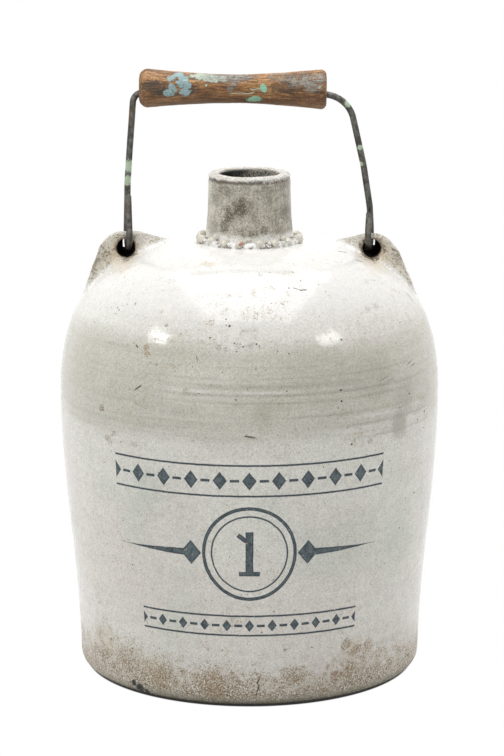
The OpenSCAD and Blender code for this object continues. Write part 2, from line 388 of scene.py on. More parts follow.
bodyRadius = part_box("lower_body")[1].x
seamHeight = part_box("lower_body")[1].z
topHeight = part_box("neck")[0].z
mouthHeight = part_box("neck")[1].z
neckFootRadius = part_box("neck")[1].x
joints = {joint["name"]: joint for joint in frame["joints"]}
bailJoint, gripJoint = joints["bail_swing"], joints["grip_spin"]
hingeHeight = bailJoint["pos_m"][2]
swingLimit = math.radians(bailJoint["range_deg"][1])
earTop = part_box("ear_left")[1].z
holeRadius = 4.9 * mm
holeRim = 3.6 * mm  # clay above each hole
leftHoleDrop = 7.5 * mm  # a hole is as far out as the shoulder's skin is at this depth under its top
rightHoleDrop = 7.1 * mm


# Stoneware body: the wall and the shoulder, thrown as one round, hollow inside

body = {
    "footRadius": 84.3 * mm,
    "footRound": 5.5 * mm,
    "footRing": 14 * mm,
    "footHollow": 2 * mm,
    "topRadius": 25 * mm,
    "holeRadius": 15.4 * mm,
    "fullness": 2.3,
    "wall": 7.5 * mm,
    "floorThickness": 10 * mm,
    "insideRound": 12 * mm,
    "outsideStep": 1.5 * mm,
    "bandStep": 0.7 * mm,
    "bandFrom": 127 * mm,
    "bandTo": 164 * mm,
    "insideStep": 9 * mm,
    "flatStep": 20 * mm,
    "roundSteps": 5,
    "wallRows": 90,
    "insideRows": 40,
    "shoulderRows": 180,
    "spin": {  # sway is how far the round is out of true
        "Columns": 380, "Sway": 0.4 * mm, "Sway Scale": 14.0, "Rings": 0.16 * mm,
        "Ring Stretch": (6.0, 6.0, 150.0), "Grain": 0.08 * mm, "Grain Scale": 160.0,
        "Lift": 0.15 * mm, "Still Below": 0.5 * mm, "Seed": 3.0,
    },
    "turningMarks": [  # height, half width and depth in mm of the grooves that the potter's fingers left
        (160.4, 0.9, 0.09),
        (157.2, 1.4, 0.14),
        (153.3, 1.0, 0.14),
        (149.8, 1.0, 0.09),
        (142.6, 1.2, 0.10),
        (136.8, 1.4, 0.13),
        (130.4, 1.3, 0.10),
        (98.0, 2.4, 0.12),
        (62.0, 2.4, 0.12),
    ],
}
shoulderRise = topHeight - seamHeight


def wallRadius(z):
    return bodyRadius - (bodyRadius - body["footRadius"]) * (1 + math.cos(math.pi * z / seamHeight)) / 2


def shoulderLine(inset):
    points = []
    rows = body["shoulderRows"]
    for i in range(rows + 1):
        a = math.pi / 2 * i / rows
        across, up = max(math.cos(a), 0) ** (2 / body["fullness"]), math.sin(a) ** (2 / body["fullness"])
        points.append((body["topRadius"] + (bodyRadius - body["topRadius"] - inset) * across,
                       seamHeight + (shoulderRise - inset) * up))
    return points


def shoulderRadius(z):
    share = min((z - seamHeight) / shoulderRise, 1)
    drop = (1 - share ** body["fullness"]) ** (1 / body["fullness"])
    return body["topRadius"] + (bodyRadius - body["topRadius"]) * drop


def surfacePoint(degrees, height):  # a place on the outside of the body
    radius = wallRadius(height) if height < seamHeight else shoulderRadius(height)
    a = math.radians(degrees)
    return Vector((radius * math.sin(a), -radius * math.cos(a), height))


def groovesAt(z):
    marks = [(h * mm, w * mm, depth * mm) for h, w, depth in body["turningMarks"]]
    return sum(depth * math.exp(-((z - h) / w) ** 2) for h, w, depth in marks)


def bodyProfile():
    foot, turn, wall = body["footRadius"], body["footRound"], body["wall"]
    ring = foot - turn - body["footRing"]
    hollow = body["footHollow"]
    under = evenly([(0, hollow), (ring - hollow, hollow)], body["flatStep"])
    rim = [(ring, 0), (foot - turn, 0)] + arc(foot - turn, turn, turn, -90, 0, body["roundSteps"])[1:]
    wallLine = [(wallRadius(z), z) for z in np.linspace(turn, seamHeight, body["wallRows"])]
    line = chain(wallLine, shoulderLine(0))
    first, last = body["bandFrom"], body["bandTo"]
    line = chain(evenly([p for p in line if p[1] <= first], body["outsideStep"]),
                 evenly([p for p in line if first < p[1] <= last], body["bandStep"]),
                 evenly([p for p in line if p[1] > last], body["outsideStep"]))
    outside = [(r - groovesAt(z), z) for r, z in line]
    insideFoot = body["floorThickness"] + body["insideRound"]
    insideRadius = wallRadius(insideFoot) - wall
    insideWall = [(wallRadius(z) - wall, z) for z in np.linspace(seamHeight, insideFoot, body["insideRows"])]
    turnIn = arc(insideRadius - body["insideRound"], insideFoot, body["insideRound"], 0, -90,
                 body["roundSteps"])
    inside = evenly(chain(shoulderLine(wall)[::-1], insideWall, turnIn), body["insideStep"])
    hole = [(body["holeRadius"], topHeight), (body["holeRadius"], topHeight - wall)]
    floorIn = evenly([turnIn[-1], (0, body["floorThickness"])], body["flatStep"])
    return chain(under, rim, outside[1:], hole, inside, floorIn)


stillFade = 5 * mm  # under Still Below a piece stays true, and its unevenness grows in over this height


def spinTree():
    tree, given, result = newTree("spin", {
        "Columns": "Int", "Rows": "Int", "Sway": "Float", "Sway Scale": "Float", "Rings": "Float",
        "Ring Stretch": "Vector", "Grain": "Float", "Grain Scale": "Float", "Lift": "Float",
        "Still Below": "Float", "Seed": "Float", "Material": "Material"})
    rows, columns = Field(given["Rows"]), Field(given["Columns"])
    grid = addNode(tree, "GeometryNodeMeshGrid", {"Size X": 1.0, "Size Y": 1.0, "Vertices X": columns + 1,
                                                  "Vertices Y": rows})
    x, y, _ = split(position(tree))
    turn = (x + 0.5) * (2 * math.pi)
    row = ((y + 0.5) * (rows - 1)).math("ROUND")
    sample = addNode(tree, "GeometryNodeSampleIndex", data_type="FLOAT_VECTOR", domain="POINT")
    plug(given["Geometry"], sample.inputs["Geometry"])
    plug(position(tree), sample.inputs["Value"])
    plug(row, sample.inputs["Index"])
    radius, _, height = split(Field(sample.outputs[0]))
    spun = addNode(tree, "GeometryNodeSetPosition", {
        "Geometry": grid.outputs["Mesh"],
        "Position": join(radius * turn.math("COSINE"), radius * turn.math("SINE"), height)})
    closed = addNode(tree, "GeometryNodeMergeByDistance", {"Geometry": spun.outputs[0],
                                                           "Distance": mergeDistance})
    place = position(tree)
    seed = given["Seed"]
    sway = cloud(place, given["Sway Scale"], 1.0, 0.5, seed) * given["Sway"]
    rings = cloud(place, 1.0, 2.0, 0.55, seed, given["Ring Stretch"]) * given["Rings"]
    grain = cloud(place, given["Grain Scale"], 2.0, 0.6, seed) * given["Grain"]
    still = ramp(split(place)[2], given["Still Below"], Field(given["Still Below"]) + stillFade)
    depth = ((sway + rings + grain) * -1 + given["Lift"]) * still
    return endTree(tree, closed.outputs[0], depth, given, result)


spin = spinTree()


def spinPiece(name, profile, material, values):
    points = [(r, 0, z) for r, z in profile]
    made = meshObject(name, points, edges=[(i, i + 1) for i in range(len(points) - 1)])
    runTree(made, spin, {"Rows": len(points), "Material": material, **values})
    finishMesh(made, material)
    return made


leftHole = Vector((-shoulderRadius(topHeight - leftHoleDrop), 0, earTop - holeRim - holeRadius))
rightHole = Vector((shoulderRadius(topHeight - rightHoleDrop), 0, earTop - holeRim - holeRadius))


# Clay and glaze

glaze = {
    "paintedLight": srgb(248, 247, 244),  # painted light: whiter round the neck, where the neck and bead cast shade
    "white": srgb(227, 226, 222),
    "cream": srgb(220, 219, 211),
    "pink": srgb(218, 213, 206),
    "green": srgb(204, 208, 198),
    "band": srgb(197, 194, 181),
    "bandDark": srgb(176, 173, 158),
    "bandFrom": 131 * mm,
    "bandTo": 172 * mm,
    "whiteFrom": 172 * mm,
    "whiteTo": 196 * mm,
    "paintedLightFrom": 56 * mm,
    "paintedLightTo": 26 * mm,
    "grimeTop": 30 * mm,
    "grimeSides": 8 * mm,  # it climbs this much higher at the sides
    "frostTop": 30 * mm,
    "stripTop": 6 * mm,
    "bareFoot": 1.3 * mm,
    "haloReach": 10 * mm,
    "ringReach": 6.8 * mm,
    "paintedShadeFrom": 150 * mm,  # painted shade: the inside of the shoulder's hole is painted dark above this height
    "grain": {"body": (1.0, 0.3), "neck": (1.1, 0.4), "bead": (1.1, 0.5), "ear": (1.5, 0.6)},
    "bumps": {"body": 0.07, "neck": 0.3, "bead": 0.3, "ear": 0.35},
    "speckBrown": srgb(98, 80, 58),
    "speckDark": srgb(40, 34, 28),
    "pepper": srgb(122, 116, 100),
    "roughness": 0.115,
    "neck": srgb(203, 198, 184),
    "neckDark": srgb(142, 136, 122),
    "smudge": srgb(84, 73, 58),
    "ear": srgb(222, 216, 202),
    "earDark": srgb(150, 140, 120),
    # near black: the bare breaks at the foot, and painted shade in the ear holes, the mouth and the
    # shoulder's hole
    "darkBreakAndShade": srgb(12, 10, 8),
    "holeRing": srgb(92, 68, 44),
    "ochre": srgb(214, 190, 150),
    "rust": srgb(160, 96, 56),
    "lump": srgb(204, 197, 180),
    "grimeTan": srgb(200, 184, 150),
    "grimeBrown": srgb(146, 118, 74),
    "grimeDark": srgb(74, 58, 38),
    "frost": srgb(236, 233, 224),
    "footStrip": srgb(186, 182, 164),
    "foot": srgb(120, 108, 88),
}

patches = [  # degrees round the body, height and reach in mm, colour, strength of the wide shades
    (42.0, 159.0, 20, srgb(172, 170, 156), 0.5),
    (52.0, 146.0, 15, srgb(172, 170, 158), 0.5),
    (50.0, 132.0, 9, srgb(160, 156, 142), 0.6),
    (20.0, 163.0, 22, srgb(178, 175, 160), 0.4),
    (-60.0, 160.0, 16, srgb(190, 186, 172), 0.5),
    (4.5, 144.7, 9, srgb(160, 158, 140), 0.3),
    (35.0, 24.0, 10, srgb(196, 180, 148), 0.35),
    (-55.0, 24.0, 15, srgb(196, 180, 148), 0.4),
    (-34.0, 13.0, 12, srgb(190, 172, 138), 0.35),
    (185.0, 95.0, 18, srgb(190, 184, 168), 0.5),
    (120.0, 40.0, 18, srgb(190, 172, 138), 0.5),
]

stains = [  # degrees round the body, height and reach in mm, colour, strength of the small marks
    (-28.5, 182.9, 1.4, srgb(140, 112, 100), 0.7),
    (-44.5, 189.4, 1.6, srgb(130, 112, 84), 0.8),
    (-31.5, 188.1, 1.2, srgb(178, 142, 92), 0.7),
    (-33.4, 172.4, 1.9, srgb(150, 118, 70), 0.8),
    (-32.8, 169.6, 1.8, srgb(150, 118, 70), 0.8),
    (-9.5, 175.0, 1.9, srgb(122, 114, 96), 0.6),
    (-7.4, 174.4, 1.4, srgb(122, 114, 96), 0.6),
    (-3.5, 175.6, 2.0, srgb(120, 114, 100), 0.5),
    (1.0, 176.3, 2.0, srgb(110, 104, 92), 0.5),
    (-49.0, 140.8, 2.2, srgb(118, 88, 56), 0.9),
    (-45.5, 126.3, 3.0, srgb(150, 128, 90), 0.6),
    (-43.5, 129.5, 2.0, srgb(84, 76, 62), 0.5),
    (-35.5, 126.3, 2.2, srgb(150, 132, 100), 0.5),
    (-21.5, 207.2, 3.6, srgb(196, 176, 140), 0.5),
    (-25.5, 207.4, 2.6, srgb(190, 168, 130), 0.5),
    (5.0, 204.2, 1.4, srgb(110, 112, 108), 0.7),
    (32.0, 128.0, 2.0, srgb(160, 150, 112), 0.6),
    (37.5, 127.4, 1.6, srgb(120, 106, 84), 0.6),
    (49.5, 188.1, 2.4, srgb(158, 150, 134), 0.5),
    (45.0, 187.0, 2.4, srgb(170, 162, 146), 0.5),
    (33.5, 27.0, 4.0, srgb(138, 110, 66), 0.9),
    (36.5, 24.5, 4.4, srgb(138, 110, 66), 0.9),
    (42.0, 24.5, 4.0, srgb(150, 124, 82), 0.8),
    (34.5, 14.5, 5.0, srgb(140, 112, 66), 0.8),
    (29.0, 12.5, 3.4, srgb(132, 96, 48), 1.0),
    (14.5, 15.5, 7.0, srgb(146, 120, 80), 0.8),
    (11.5, 28.5, 1.2, srgb(104, 82, 60), 0.8),
    (-30.0, 12.0, 8.0, srgb(140, 114, 74), 0.8),
    (-44.0, 17.0, 8.0, srgb(140, 116, 76), 0.8),
    (-12.0, 10.0, 9.0, srgb(146, 122, 82), 0.7),
    (150.0, 60.0, 5.0, srgb(150, 128, 96), 0.7),
    (120.0, 110.0, 4.0, srgb(140, 122, 96), 0.6),
    (-140.0, 150.0, 4.0, srgb(112, 88, 60), 0.7),
]

chips = [  # degrees, height and reach in mm of the bare dark breaks at the foot
    (-38.9, 2.8, 3.2),
    (-36.2, 1.4, 2.9),
    (-41.4, 5.4, 1.8),
]

cracks = [  # degrees and height of both ends, width in mm, colour
    ((-33.0, 155.4), (-36.0, 152.0), 0.5, srgb(44, 38, 32)),
    ((-1.2, 134.6), (1.6, 134.0), 0.6, srgb(76, 72, 60)),
    ((18.0, 198.9), (20.5, 197.9), 0.45, srgb(110, 76, 60)),
    ((20.5, 197.9), (23.0, 198.0), 0.5, srgb(88, 56, 44)),
    ((68.0, 208.2), (71.0, 207.4), 0.6, srgb(74, 60, 50)),
    ((66.0, 205.0), (68.0, 203.8), 0.5, srgb(60, 50, 42)),
    ((-37.4, 172.6), (-36.8, 171.8), 0.6, srgb(30, 26, 22)),
    ((-16.2, 170.4), (-15.8, 168.6), 0.35, srgb(90, 84, 72)),
    ((3.4, 15.0), (2.5, 12.2), 0.55, srgb(34, 26, 20)),
    ((2.5, 12.2), (2.9, 10.0), 0.35, srgb(72, 58, 40)),
    ((2.9, 10.0), (2.3, 6.4), 0.5, srgb(40, 30, 22)),
    ((42.0, 155.4), (58.0, 160.4), 0.5, srgb(158, 154, 142)),
    ((45.0, 154.4), (60.0, 159.0), 0.4, srgb(160, 156, 144)),
]

dots = [  # degrees, height and reach in mm of the dark pinholes that show from a step away
    (-6.5, 184.2, 0.75), (-7.6, 184.6, 0.5), (-8.0, 186.8, 0.55), (-52.0, 186.4, 0.5), (-50.6, 185.6, 0.5),
    (-51.4, 184.0, 0.45), (-4.8, 176.8, 0.5), (-2.0, 175.4, 0.5), (2.2, 176.6, 0.55), (3.0, 175.6, 0.5),
    (2.0, 165.8, 0.5), (-31.5, 144.7, 0.5), (30.0, 176.3, 0.8), (27.5, 153.9, 0.7), (27.5, 148.7, 0.75),
    (31.0, 127.6, 0.7), (55.0, 146.0, 0.6), (64.5, 134.2, 0.8), (60.0, 131.6, 0.7), (12.0, 172.0, 0.5),
    (-24.0, 118.0, 0.5), (22.0, 118.5, 0.5), (-18.0, 97.5, 0.45), (-39.0, 66.0, 0.5), (47.0, 64.0, 0.5),
]

turningShadeAndHighlight = [  # painted shade in the turning grooves and painted highlight on the ridges between them: height and half width in mm, strength, first and last degree, colour
    (161.0, 1.0, 0.22, -42, 66, "pepper"),
    (157.3, 1.9, 0.34, -30, 40, "pepper"),
    (154.9, 0.9, 0.50, -34, 40, "white"),
    (153.3, 1.2, 0.42, -34, 70, "pepper"),
    (149.8, 1.1, 0.30, -20, 60, "pepper"),
    (142.8, 1.1, 0.26, 6, 60, "pepper"),
    (140.2, 1.9, 0.40, 24, 66, "white"),
    (136.7, 1.2, 0.30, 22, 74, "pepper"),
    (134.2, 1.7, 0.45, 18, 74, "white"),
    (130.2, 1.2, 0.26, 26, 74, "pepper"),
    (166.0, 1.0, 0.18, -40, 30, "pepper"),
    (171.5, 1.0, 0.16, -60, 10, "pepper"),
    (156.0, 1.4, 0.25, 110, 240, "pepper"),
    (120.0, 1.2, 0.20, 130, 260, "pepper"),
]


def specks(at, pitch, share, size, seed):  # round spots: pitch, share of the cells with one, largest radius
    cells = addNode(at.tree, "ShaderNodeTexVoronoi")
    plug(vectorMath("ADD", at, (seed * 0.37, seed * -0.53, seed * 0.79)), cells.inputs["Vector"])
    plug(1 / pitch, cells.inputs["Scale"])
    chance = Field(addNode(at.tree, "ShaderNodeSeparateColor", {0: cells.outputs["Color"]}).outputs[0])
    radius = ramp(chance, 1 - share, 1.0) * (size / pitch)
    return ((radius - cells.outputs["Distance"]) * (3 * pitch / size)).clamped()


def spot(at, centre, reach, ragged, rough, smooth):  # 1 inside a mark, 0 outside it
    return ramp(distance(at, centre) / reach + ((rough + smooth) * ragged - ragged), 1.0, 0.6)


def fromMark(at, degrees, height, size):  # how far a place is from a mark on the body, in its own reaches
    return distance(at, surfacePoint(degrees, height * mm)) / (size * mm)


def lineMark(at, start, end, width):  # 1 along a line between two places
    along = Vector(end) - Vector(start)
    offset = vectorMath("SUBTRACT", at, tuple(start))
    share = (vectorMath("DOT_PRODUCT", offset, tuple(along)) / along.length_squared).clamped()
    away = vectorMath("DISTANCE", offset, times(at.tree, tuple(along), share))
    return ramp(away, width, width * 0.4)


def newMaterial(name):
    material = bpy.data.materials.new(name)
    material.use_nodes = True
    material.node_tree.nodes.clear()
    place = Field(material.node_tree.nodes.new("ShaderNodeTexCoord").outputs["Object"])
    return material, material.node_tree, place


def closeMaterial(tree, height, depth, inputs):  # the shader with its bump
    bump = addNode(tree, "ShaderNodeBump", {"Height": height, "Distance": depth, "Strength": 1.0})
    shader = addNode(tree, "ShaderNodeBsdfPrincipled", {"Normal": bump.outputs[0], **inputs})
    plug(shader.outputs[0], tree.nodes.new("ShaderNodeOutputMaterial").inputs[0])


# Cobalt mark on the front: a plain ring with a capacity figure, and lozenge rows above and below it

cobalt = {
    "ink": srgb(88, 102, 106),
    "inkEdge": srgb(46, 60, 68),
    "soft": 0.16 * mm,
    "wander": 0.5 * mm,
    "edgeWidth": 0.38 * mm,
    "ringHeight": 77 * mm,
    "ringRadius": 22.5 * mm,
    "innerRadius": 18.6 * mm,
    "ringWidth": 0.85 * mm,
    "innerWidth": 0.4 * mm,
    "figureHalf": 11 * mm,
    "stemHalf": 1.9 * mm,
    "serifHalf": 5.2 * mm,
    "serifThick": 1.1 * mm,
    "rows": [  # height, half length, pitch, lozenge half width and half height, bar half length, all in mm
        (113, 70, 14, 3.4, 4.4, 2.2),
        (41, 58, 11.6, 2.4, 2.9, 2.0),
    ],
    "ruleReach": 7.4 / 4.4,  # how far the rules stand off, in half heights of a lozenge
    "ruleHalf": 0.45 * mm,
    "barHalf": 0.65 * mm,
    "sideFrom": 29 * mm,
    "sideTo": 71 * mm,
    "sideThick": 1.7 * mm,
    "sideLozenge": (5.2 * mm, 6.0 * mm),
}


def boxShape(x, y, halfX, halfY):
    return (abs(x) - halfX).above(abs(y) - halfY)


def lozengeShape(x, y, halfX, halfY):
    return (abs(x) / halfX + abs(y) / halfY - 1) * (halfX * halfY / math.hypot(halfX, halfY))


def ringShape(x, y, radius, halfWidth):
    return abs((x * x + y * y).math("SQRT") - radius) - halfWidth


def cobaltShapes(across, height):
    c = cobalt
    y = height - c["ringHeight"]
    shapes = [ringShape(across, y, c["ringRadius"], c["ringWidth"]),
              ringShape(across, y, c["innerRadius"], c["innerWidth"])]
    foot = y + (c["figureHalf"] - c["serifThick"])
    shapes.append(boxShape(across, y, c["stemHalf"], c["figureHalf"]))
    shapes.append(boxShape(across, foot, c["serifHalf"], c["serifThick"]))
    flagX, flagY = across + c["stemHalf"] * 1.9, y - c["figureHalf"] * 0.72
    flagAcross, flagUp = flagX * 0.8 - flagY * 0.6, flagX * 0.6 + flagY * 0.8
    shapes.append(boxShape(flagAcross, flagUp, c["serifHalf"] * 0.5, c["serifThick"]))
    side = abs(across)
    middle, half = (c["sideFrom"] + c["sideTo"]) / 2, (c["sideTo"] - c["sideFrom"]) / 2
    taper = ramp(side, c["sideTo"], c["sideFrom"]) * c["sideThick"]
    shapes.append((abs(side - middle) - half).above(abs(y) - taper))
    shapes.append(lozengeShape(side - c["sideFrom"], y, *c["sideLozenge"]))
    for row in c["rows"]:
        rowHeight, rowHalf, pitch, halfX, halfY, barHalf = [size * mm for size in row]
        up = height - rowHeight
        x = (across + pitch / 2).math("WRAP", 0.0, pitch) - pitch / 2
        between = abs(x) * -1 + pitch / 2
        pattern = lozengeShape(x, up, halfX, halfY).below(boxShape(between, up, barHalf, c["barHalf"]))
        rules = abs(abs(up) - c["ruleReach"] * halfY) - c["ruleHalf"]
        shapes.append(pattern.below(rules).above(side - rowHalf))
    return least(shapes)


def cobaltMarks(place, angle, height):
    bend = (cloud(place, 260, 2.0, 0.6, 4.0) - 0.5) * cobalt["wander"]
    shape = cobaltShapes(angle * bodyRadius + bend, height + bend * 0.8)
    worn = ramp(cloud(place, 900, 3.0, 0.7, 6.0), 0.62, 0.72)
    front = ramp(abs(angle), 1.2, 1.1)
    mark = ramp(shape, cobalt["soft"], -cobalt["soft"]) * front * (worn * -0.7 + 1)
    edge = ramp(abs(shape + cobalt["edgeWidth"] * 0.6), cobalt["edgeWidth"] * 1.5, cobalt["edgeWidth"] * 0.4)
    blot = cloud(place, 420, 3.0, 0.6, 8.0)
    ink = mixColour(ramp(blot, 0.35, 0.7), cobalt["ink"], cobalt["inkEdge"])
    ink = mixColour(edge, ink, cobalt["inkEdge"])
    return mark, ink


def washed(tree, colour, shade):  # the colour times a number
    grey = addNode(tree, "ShaderNodeCombineColor", {0: shade, 1: shade, 2: shade})
    return mixColour(1.0, colour, Field(grey.outputs[0]), "MULTIPLY")


def bodyColour(place, colour, height, angle, z, fine, mottle):  # grime, marks, cracks and the cobalt mark
    tree = place.tree
    streaky = cloud(place, 1.0, 2.0, 0.6, 41.0, (60, 60, 500))
    # painted shade and highlight along the turning grooves and ridges
    for lineHeight, width, strength, first, last, tone in turningShadeAndHighlight:
        middle, half = math.radians((first + last) / 2), math.radians((last - first) / 2)
        turned = (angle - middle).math("WRAP", -math.pi, math.pi)
        along = ramp(abs(turned), half, half * 0.55)
        found = ramp(abs(z - lineHeight * mm), width * mm, 0.0) * along * ramp(streaky, 0.25, 0.6)
        colour = mixColour(found * strength, colour, glaze[tone])
    low = cloud(place, 34, 3.0, 0.6, 13.0)
    clump = cloud(place, 210, 4.0, 0.7, 14.0)
    for degrees, patchHeight, size, tone, strength in patches:
        away = fromMark(place, degrees, patchHeight, size)
        found = ramp(away + low.sway(2.0) + clump.sway(0.8), 1.0, 0.3)
        colour = mixColour(found * strength, colour, tone)
    # grime that thickens towards the foot: a tan wash, brown grit, dark grains and pale ones
    grit = cloud(place, 1500, 2.0, 0.7, 15.0)
    grains = cloud(place, 1300, 2.0, 0.65, 16.0)
    sides = ramp(abs(angle), 0.35, 0.9) * glaze["grimeSides"]
    level = ramp(z, sides + glaze["grimeTop"], 1 * mm) * 0.9 + low.sway(1.0) + clump.sway(2.0)
    colour = mixColour(ramp(level, 0.1, 1.1) * 0.45, colour, glaze["grimeTan"])
    grime = ramp(grit + level * 0.32, 0.64, 0.78)
    colour = mixColour(grime * 0.8, colour, glaze["grimeBrown"])
    pepper = ramp(fine + level * 0.20, 0.69, 0.78)
    colour = mixColour(pepper * 0.85, colour, glaze["grimeDark"])
    frost = ramp(grains + level * 0.14, 0.62, 0.70) * ramp(z, glaze["frostTop"], glaze["frostTop"] - 18 * mm)
    colour = mixColour(frost * 0.85, colour, glaze["frost"])
    strip = ramp(z + clump.sway(6 * mm), glaze["stripTop"], glaze["stripTop"] - 2.5 * mm)
    colour = mixColour(strip * 0.5, colour, glaze["footStrip"])
    colour = mixColour(ramp(z, glaze["bareFoot"], glaze["bareFoot"] - 0.9 * mm), colour, glaze["foot"])
    mark, ink = cobaltMarks(place, angle, z)
    colour = mixColour(mark, colour, ink)
    broken = ramp(grit, 0.40, 0.56)
    for degrees, stainHeight, size, tone, strength in stains:
        away = fromMark(place, degrees, stainHeight, size)
        found = ramp(away + clump.sway(2.6) + mottle.sway(1.6), 1.0, 0.4) * broken
        colour = mixColour(found * strength, colour, tone)
    bent = addNode(tree, "ShaderNodeVectorMath", {0: place, 1: clump.sway(1.8 * mm)}, operation="ADD")
    bent = Field(bent.outputs[0])
    lines = []
    for start, end, width, tone in cracks:
        ends = [surfacePoint(degrees, lineHeight * mm) for degrees, lineHeight in (start, end)]
        found = lineMark(bent, *ends, width * mm)
        colour = mixColour(found * 0.9, colour, tone)
        lines.append(found)
    for degrees, chipHeight, size in chips:
        found = spot(place, surfacePoint(degrees, chipHeight * mm), size * mm, 1.0, mottle, fine)
        colour = mixColour(found, colour, glaze["darkBreakAndShade"])
        lines.append(found)
    for degrees, dotHeight, size in dots:
        found = ramp(fromMark(bent, degrees, dotHeight, size), 1.0, 0.55)
        colour = mixColour(found * 0.95, colour, glaze["speckDark"])
    height = height + grime * 0.3 + frost * 0.4 - most(lines)
    return colour, height, grime * 0.4 + strip * 0.2


def neckColour(place, colour, x, z, reach, fine, mottle):  # grey wall, smudges, worn lip, and painted shade inside with a painted lit patch
    grit = cloud(place, 1400, 2.0, 0.75, 9.0)
    cloudy = cloud(place, 1.0, 3.0, 0.65, 9.5, (110, 110, 170))
    colour = mixColour(ramp(cloudy + grit.sway(0.6), 0.3, 0.7) * 0.7, colour, glaze["neck"])
    drawn = cloud(place, 1.0, 3.0, 0.65, 9.8, (520, 520, 70))
    patch = cloudy.sway(1.2) + grit.sway(1.2) + drawn.sway(0.6) + (x / neckFootRadius) * 0.1
    patch = ramp(patch, -0.34, 0.26)
    grey = mixColour(patch, glaze["neck"], glaze["neckDark"])
    grey = mixColour(ramp(grit + cloudy.sway(0.5), 0.60, 0.74) * 0.7, grey, glaze["smudge"])
    proud = ramp(z + mottle.sway(6 * mm), topHeight + 3.4 * mm, topHeight + 6.8 * mm)
    top = mouthHeight - neck["short"]
    lip = ramp(z + mottle.sway(3.0 * mm), top - 2.9 * mm, top - 1.7 * mm)
    colour = mixColour(proud * (lip * -0.8 + 1), colour, grey)
    broken = ramp(grit, 0.30, 0.50)
    for degrees, markHeight, size, strength in neck["smudges"]:
        a, markHeight = math.radians(degrees), markHeight * mm
        radius = neckRadius(markHeight)
        centre = (radius * math.sin(a), -radius * math.cos(a), markHeight)
        away = distance(place, centre) / (size * mm)
        found = ramp(away + cloudy.sway(1.0) + mottle.sway(2.0), 1.1, 0.4) * broken
        colour = mixColour(found * strength, colour, glaze["smudge"])
    leftward = ramp(x + cloudy.sway(12 * mm), 14 * mm, -12 * mm)
    below = ramp(abs(z - (top - 2.5 * mm) + mottle.sway(2.4 * mm)), 1.5 * mm, 0.2 * mm)
    dirt = below * ramp(grit + leftward * 0.26, 0.42, 0.54)
    colour = mixColour(dirt * 0.9, colour, glaze["smudge"])
    worn = ramp(z, top - 1.2 * mm, top - 0.2 * mm) * ramp(mottle + grit, 0.98, 1.16)
    colour = mixColour(worn * 0.6, colour, glaze["grimeBrown"])
    # painted shade inside the mouth, and painted light on the inner wall towards the right below the lip
    inside = ramp(reach, 16.2 * mm, 15.2 * mm) * ramp(z, top - 0.3 * mm, top - 1.6 * mm)
    side = ramp(x + mottle.sway(16 * mm), -9 * mm, 5 * mm) * ramp(grit, 0.38, 0.56)
    side = side * ramp(z, top - 12 * mm, top - 3 * mm)
    insideShadeAndLight = mixColour(side, glaze["darkBreakAndShade"], glaze["neck"])
    return mixColour(inside, colour, insideShadeAndLight)


